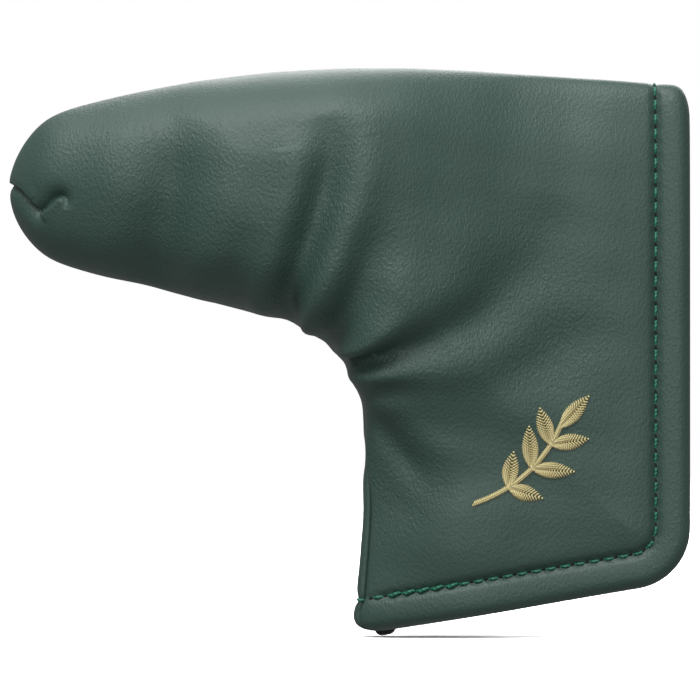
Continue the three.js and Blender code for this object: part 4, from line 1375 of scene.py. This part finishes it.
class COVER_OT_stage(bpy.types.Operator):
    """The pale floor below the cover, soft studio lights and the camera"""

    bl_idname = "cover.stage"
    bl_label = "Stage"

    def execute(self, context):
        low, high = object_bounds()
        middle = (low + high) / 2
        # Matt paper: even and pale, with no sheen.
        paper = grained("matt_paper", context.scene.cover_colours.floor, 0.5, 0.01, 0.01, 0.9)
        top = low.z * 1000 - FLOOR_GAP
        reach = [-FLOOR_REACH, FLOOR_REACH]
        x, y, z = np.meshgrid(reach, reach, [top - FLOOR_THICKNESS, top], indexing="ij")
        corners = np.stack([x, y, z], -1).reshape(-1, 3)
        sides = np.array([[0, 2, 6, 4], [1, 5, 7, 3], [0, 4, 5, 1], [2, 3, 7, 6], [0, 1, 3, 2], [4, 6, 7, 5]])
        floor = piece("floor", corners, [sides], paper)
        floor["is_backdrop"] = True
        # The paper is lit white, and throws no light back up under the cover.
        floor.visible_diffuse = floor.visible_glossy = False
        paper_only = bpy.data.collections.new("paper_only")
        paper_only.objects.link(floor)
        for name, place, size, power in [PAPER_WASH, *SOFTBOXES]:
            light = bpy.data.lights.new(name, "AREA")
            light.shape = "RECTANGLE"
            light.size, light.size_y = size
            light.energy = power
            lamp = bpy.data.objects.new(name, light)
            lamp.location = (middle.x + place[0], place[1], middle.z + place[2])
            lamp.rotation_euler = (middle - lamp.location).to_track_quat("-Z", "Y").to_euler()
            lamp.visible_camera = False
            if name == PAPER_WASH[0]:
                lamp.light_linking.receiver_collection = paper_only
            context.scene.collection.objects.link(lamp)
        # The room shows pale all round, and lights the cover only faintly.
        world = bpy.data.worlds.new("white_room")
        world.use_nodes = True
        seen = add(world.node_tree, "ShaderNodeLightPath").outputs["Is Camera Ray"]
        strength = add(world.node_tree, "ShaderNodeMapRange", {"Value": seen, "To Min": 0.3, "To Max": 1.0})
        room = world.node_tree.nodes["Background"]
        room.inputs["Color"].default_value = (1, 1, 1, 1)
        world.node_tree.links.new(strength.outputs["Result"], room.inputs["Strength"])
        context.scene.world = world
        camera = bpy.data.cameras.new("camera")
        camera.sensor_width = CAMERA_SENSOR
        camera.lens = CAMERA_SENSOR * CAMERA_DISTANCE / ((cad_high.x - cad_low.x) * CAMERA_MARGIN)
        eye = bpy.data.objects.new("camera", camera)
        aim = (cad_low + cad_high) / 2
        eye.location = (aim.x + CAMERA_RIGHT, -CAMERA_DISTANCE, aim.z)
        eye.rotation_euler = (math.pi / 2, 0, 0)
        context.scene.collection.objects.link(eye)
        context.scene.camera = eye
        context.scene.view_settings.view_transform = "Standard"
        return {"FINISHED"}


class COVER_PT_panel(bpy.types.Panel):
    """The cover's pieces, sizes and colours"""

    bl_idname = "COVER_PT_panel"
    bl_label = "Head cover"
    bl_space_type = "VIEW_3D"
    bl_region_type = "UI"
    bl_category = "Head cover"

    def draw(self, context):
        for group in (context.scene.cover_sizes, context.scene.cover_colours):
            for key in group.__annotations__:
                self.layout.prop(group, key)
        for operator in OPERATORS:
            self.layout.operator(operator.bl_idname)


OPERATORS = [
    COVER_OT_leather,
    COVER_OT_padding,
    COVER_OT_hem_stitching,
    COVER_OT_joining_seam,
    COVER_OT_embroidery,
    COVER_OT_magnets,
    COVER_OT_lining_corner,
    COVER_OT_stage,
]
CLASSES = [CoverSizes, CoverColours, *OPERATORS, COVER_PT_panel]


def register():
    for each in CLASSES:
        bpy.utils.register_class(each)
    bpy.types.Scene.cover_sizes = bpy.props.PointerProperty(type=CoverSizes)
    bpy.types.Scene.cover_colours = bpy.props.PointerProperty(type=CoverColours)


def unregister():
    del bpy.types.Scene.cover_colours
    del bpy.types.Scene.cover_sizes
    for each in reversed(CLASSES):
        bpy.utils.unregister_class(each)


def main():
    register()
    for operator in OPERATORS:
        family, name = operator.bl_idname.split(".")
        getattr(getattr(bpy.ops, family), name)()


if __name__ == "__main__":
    main()
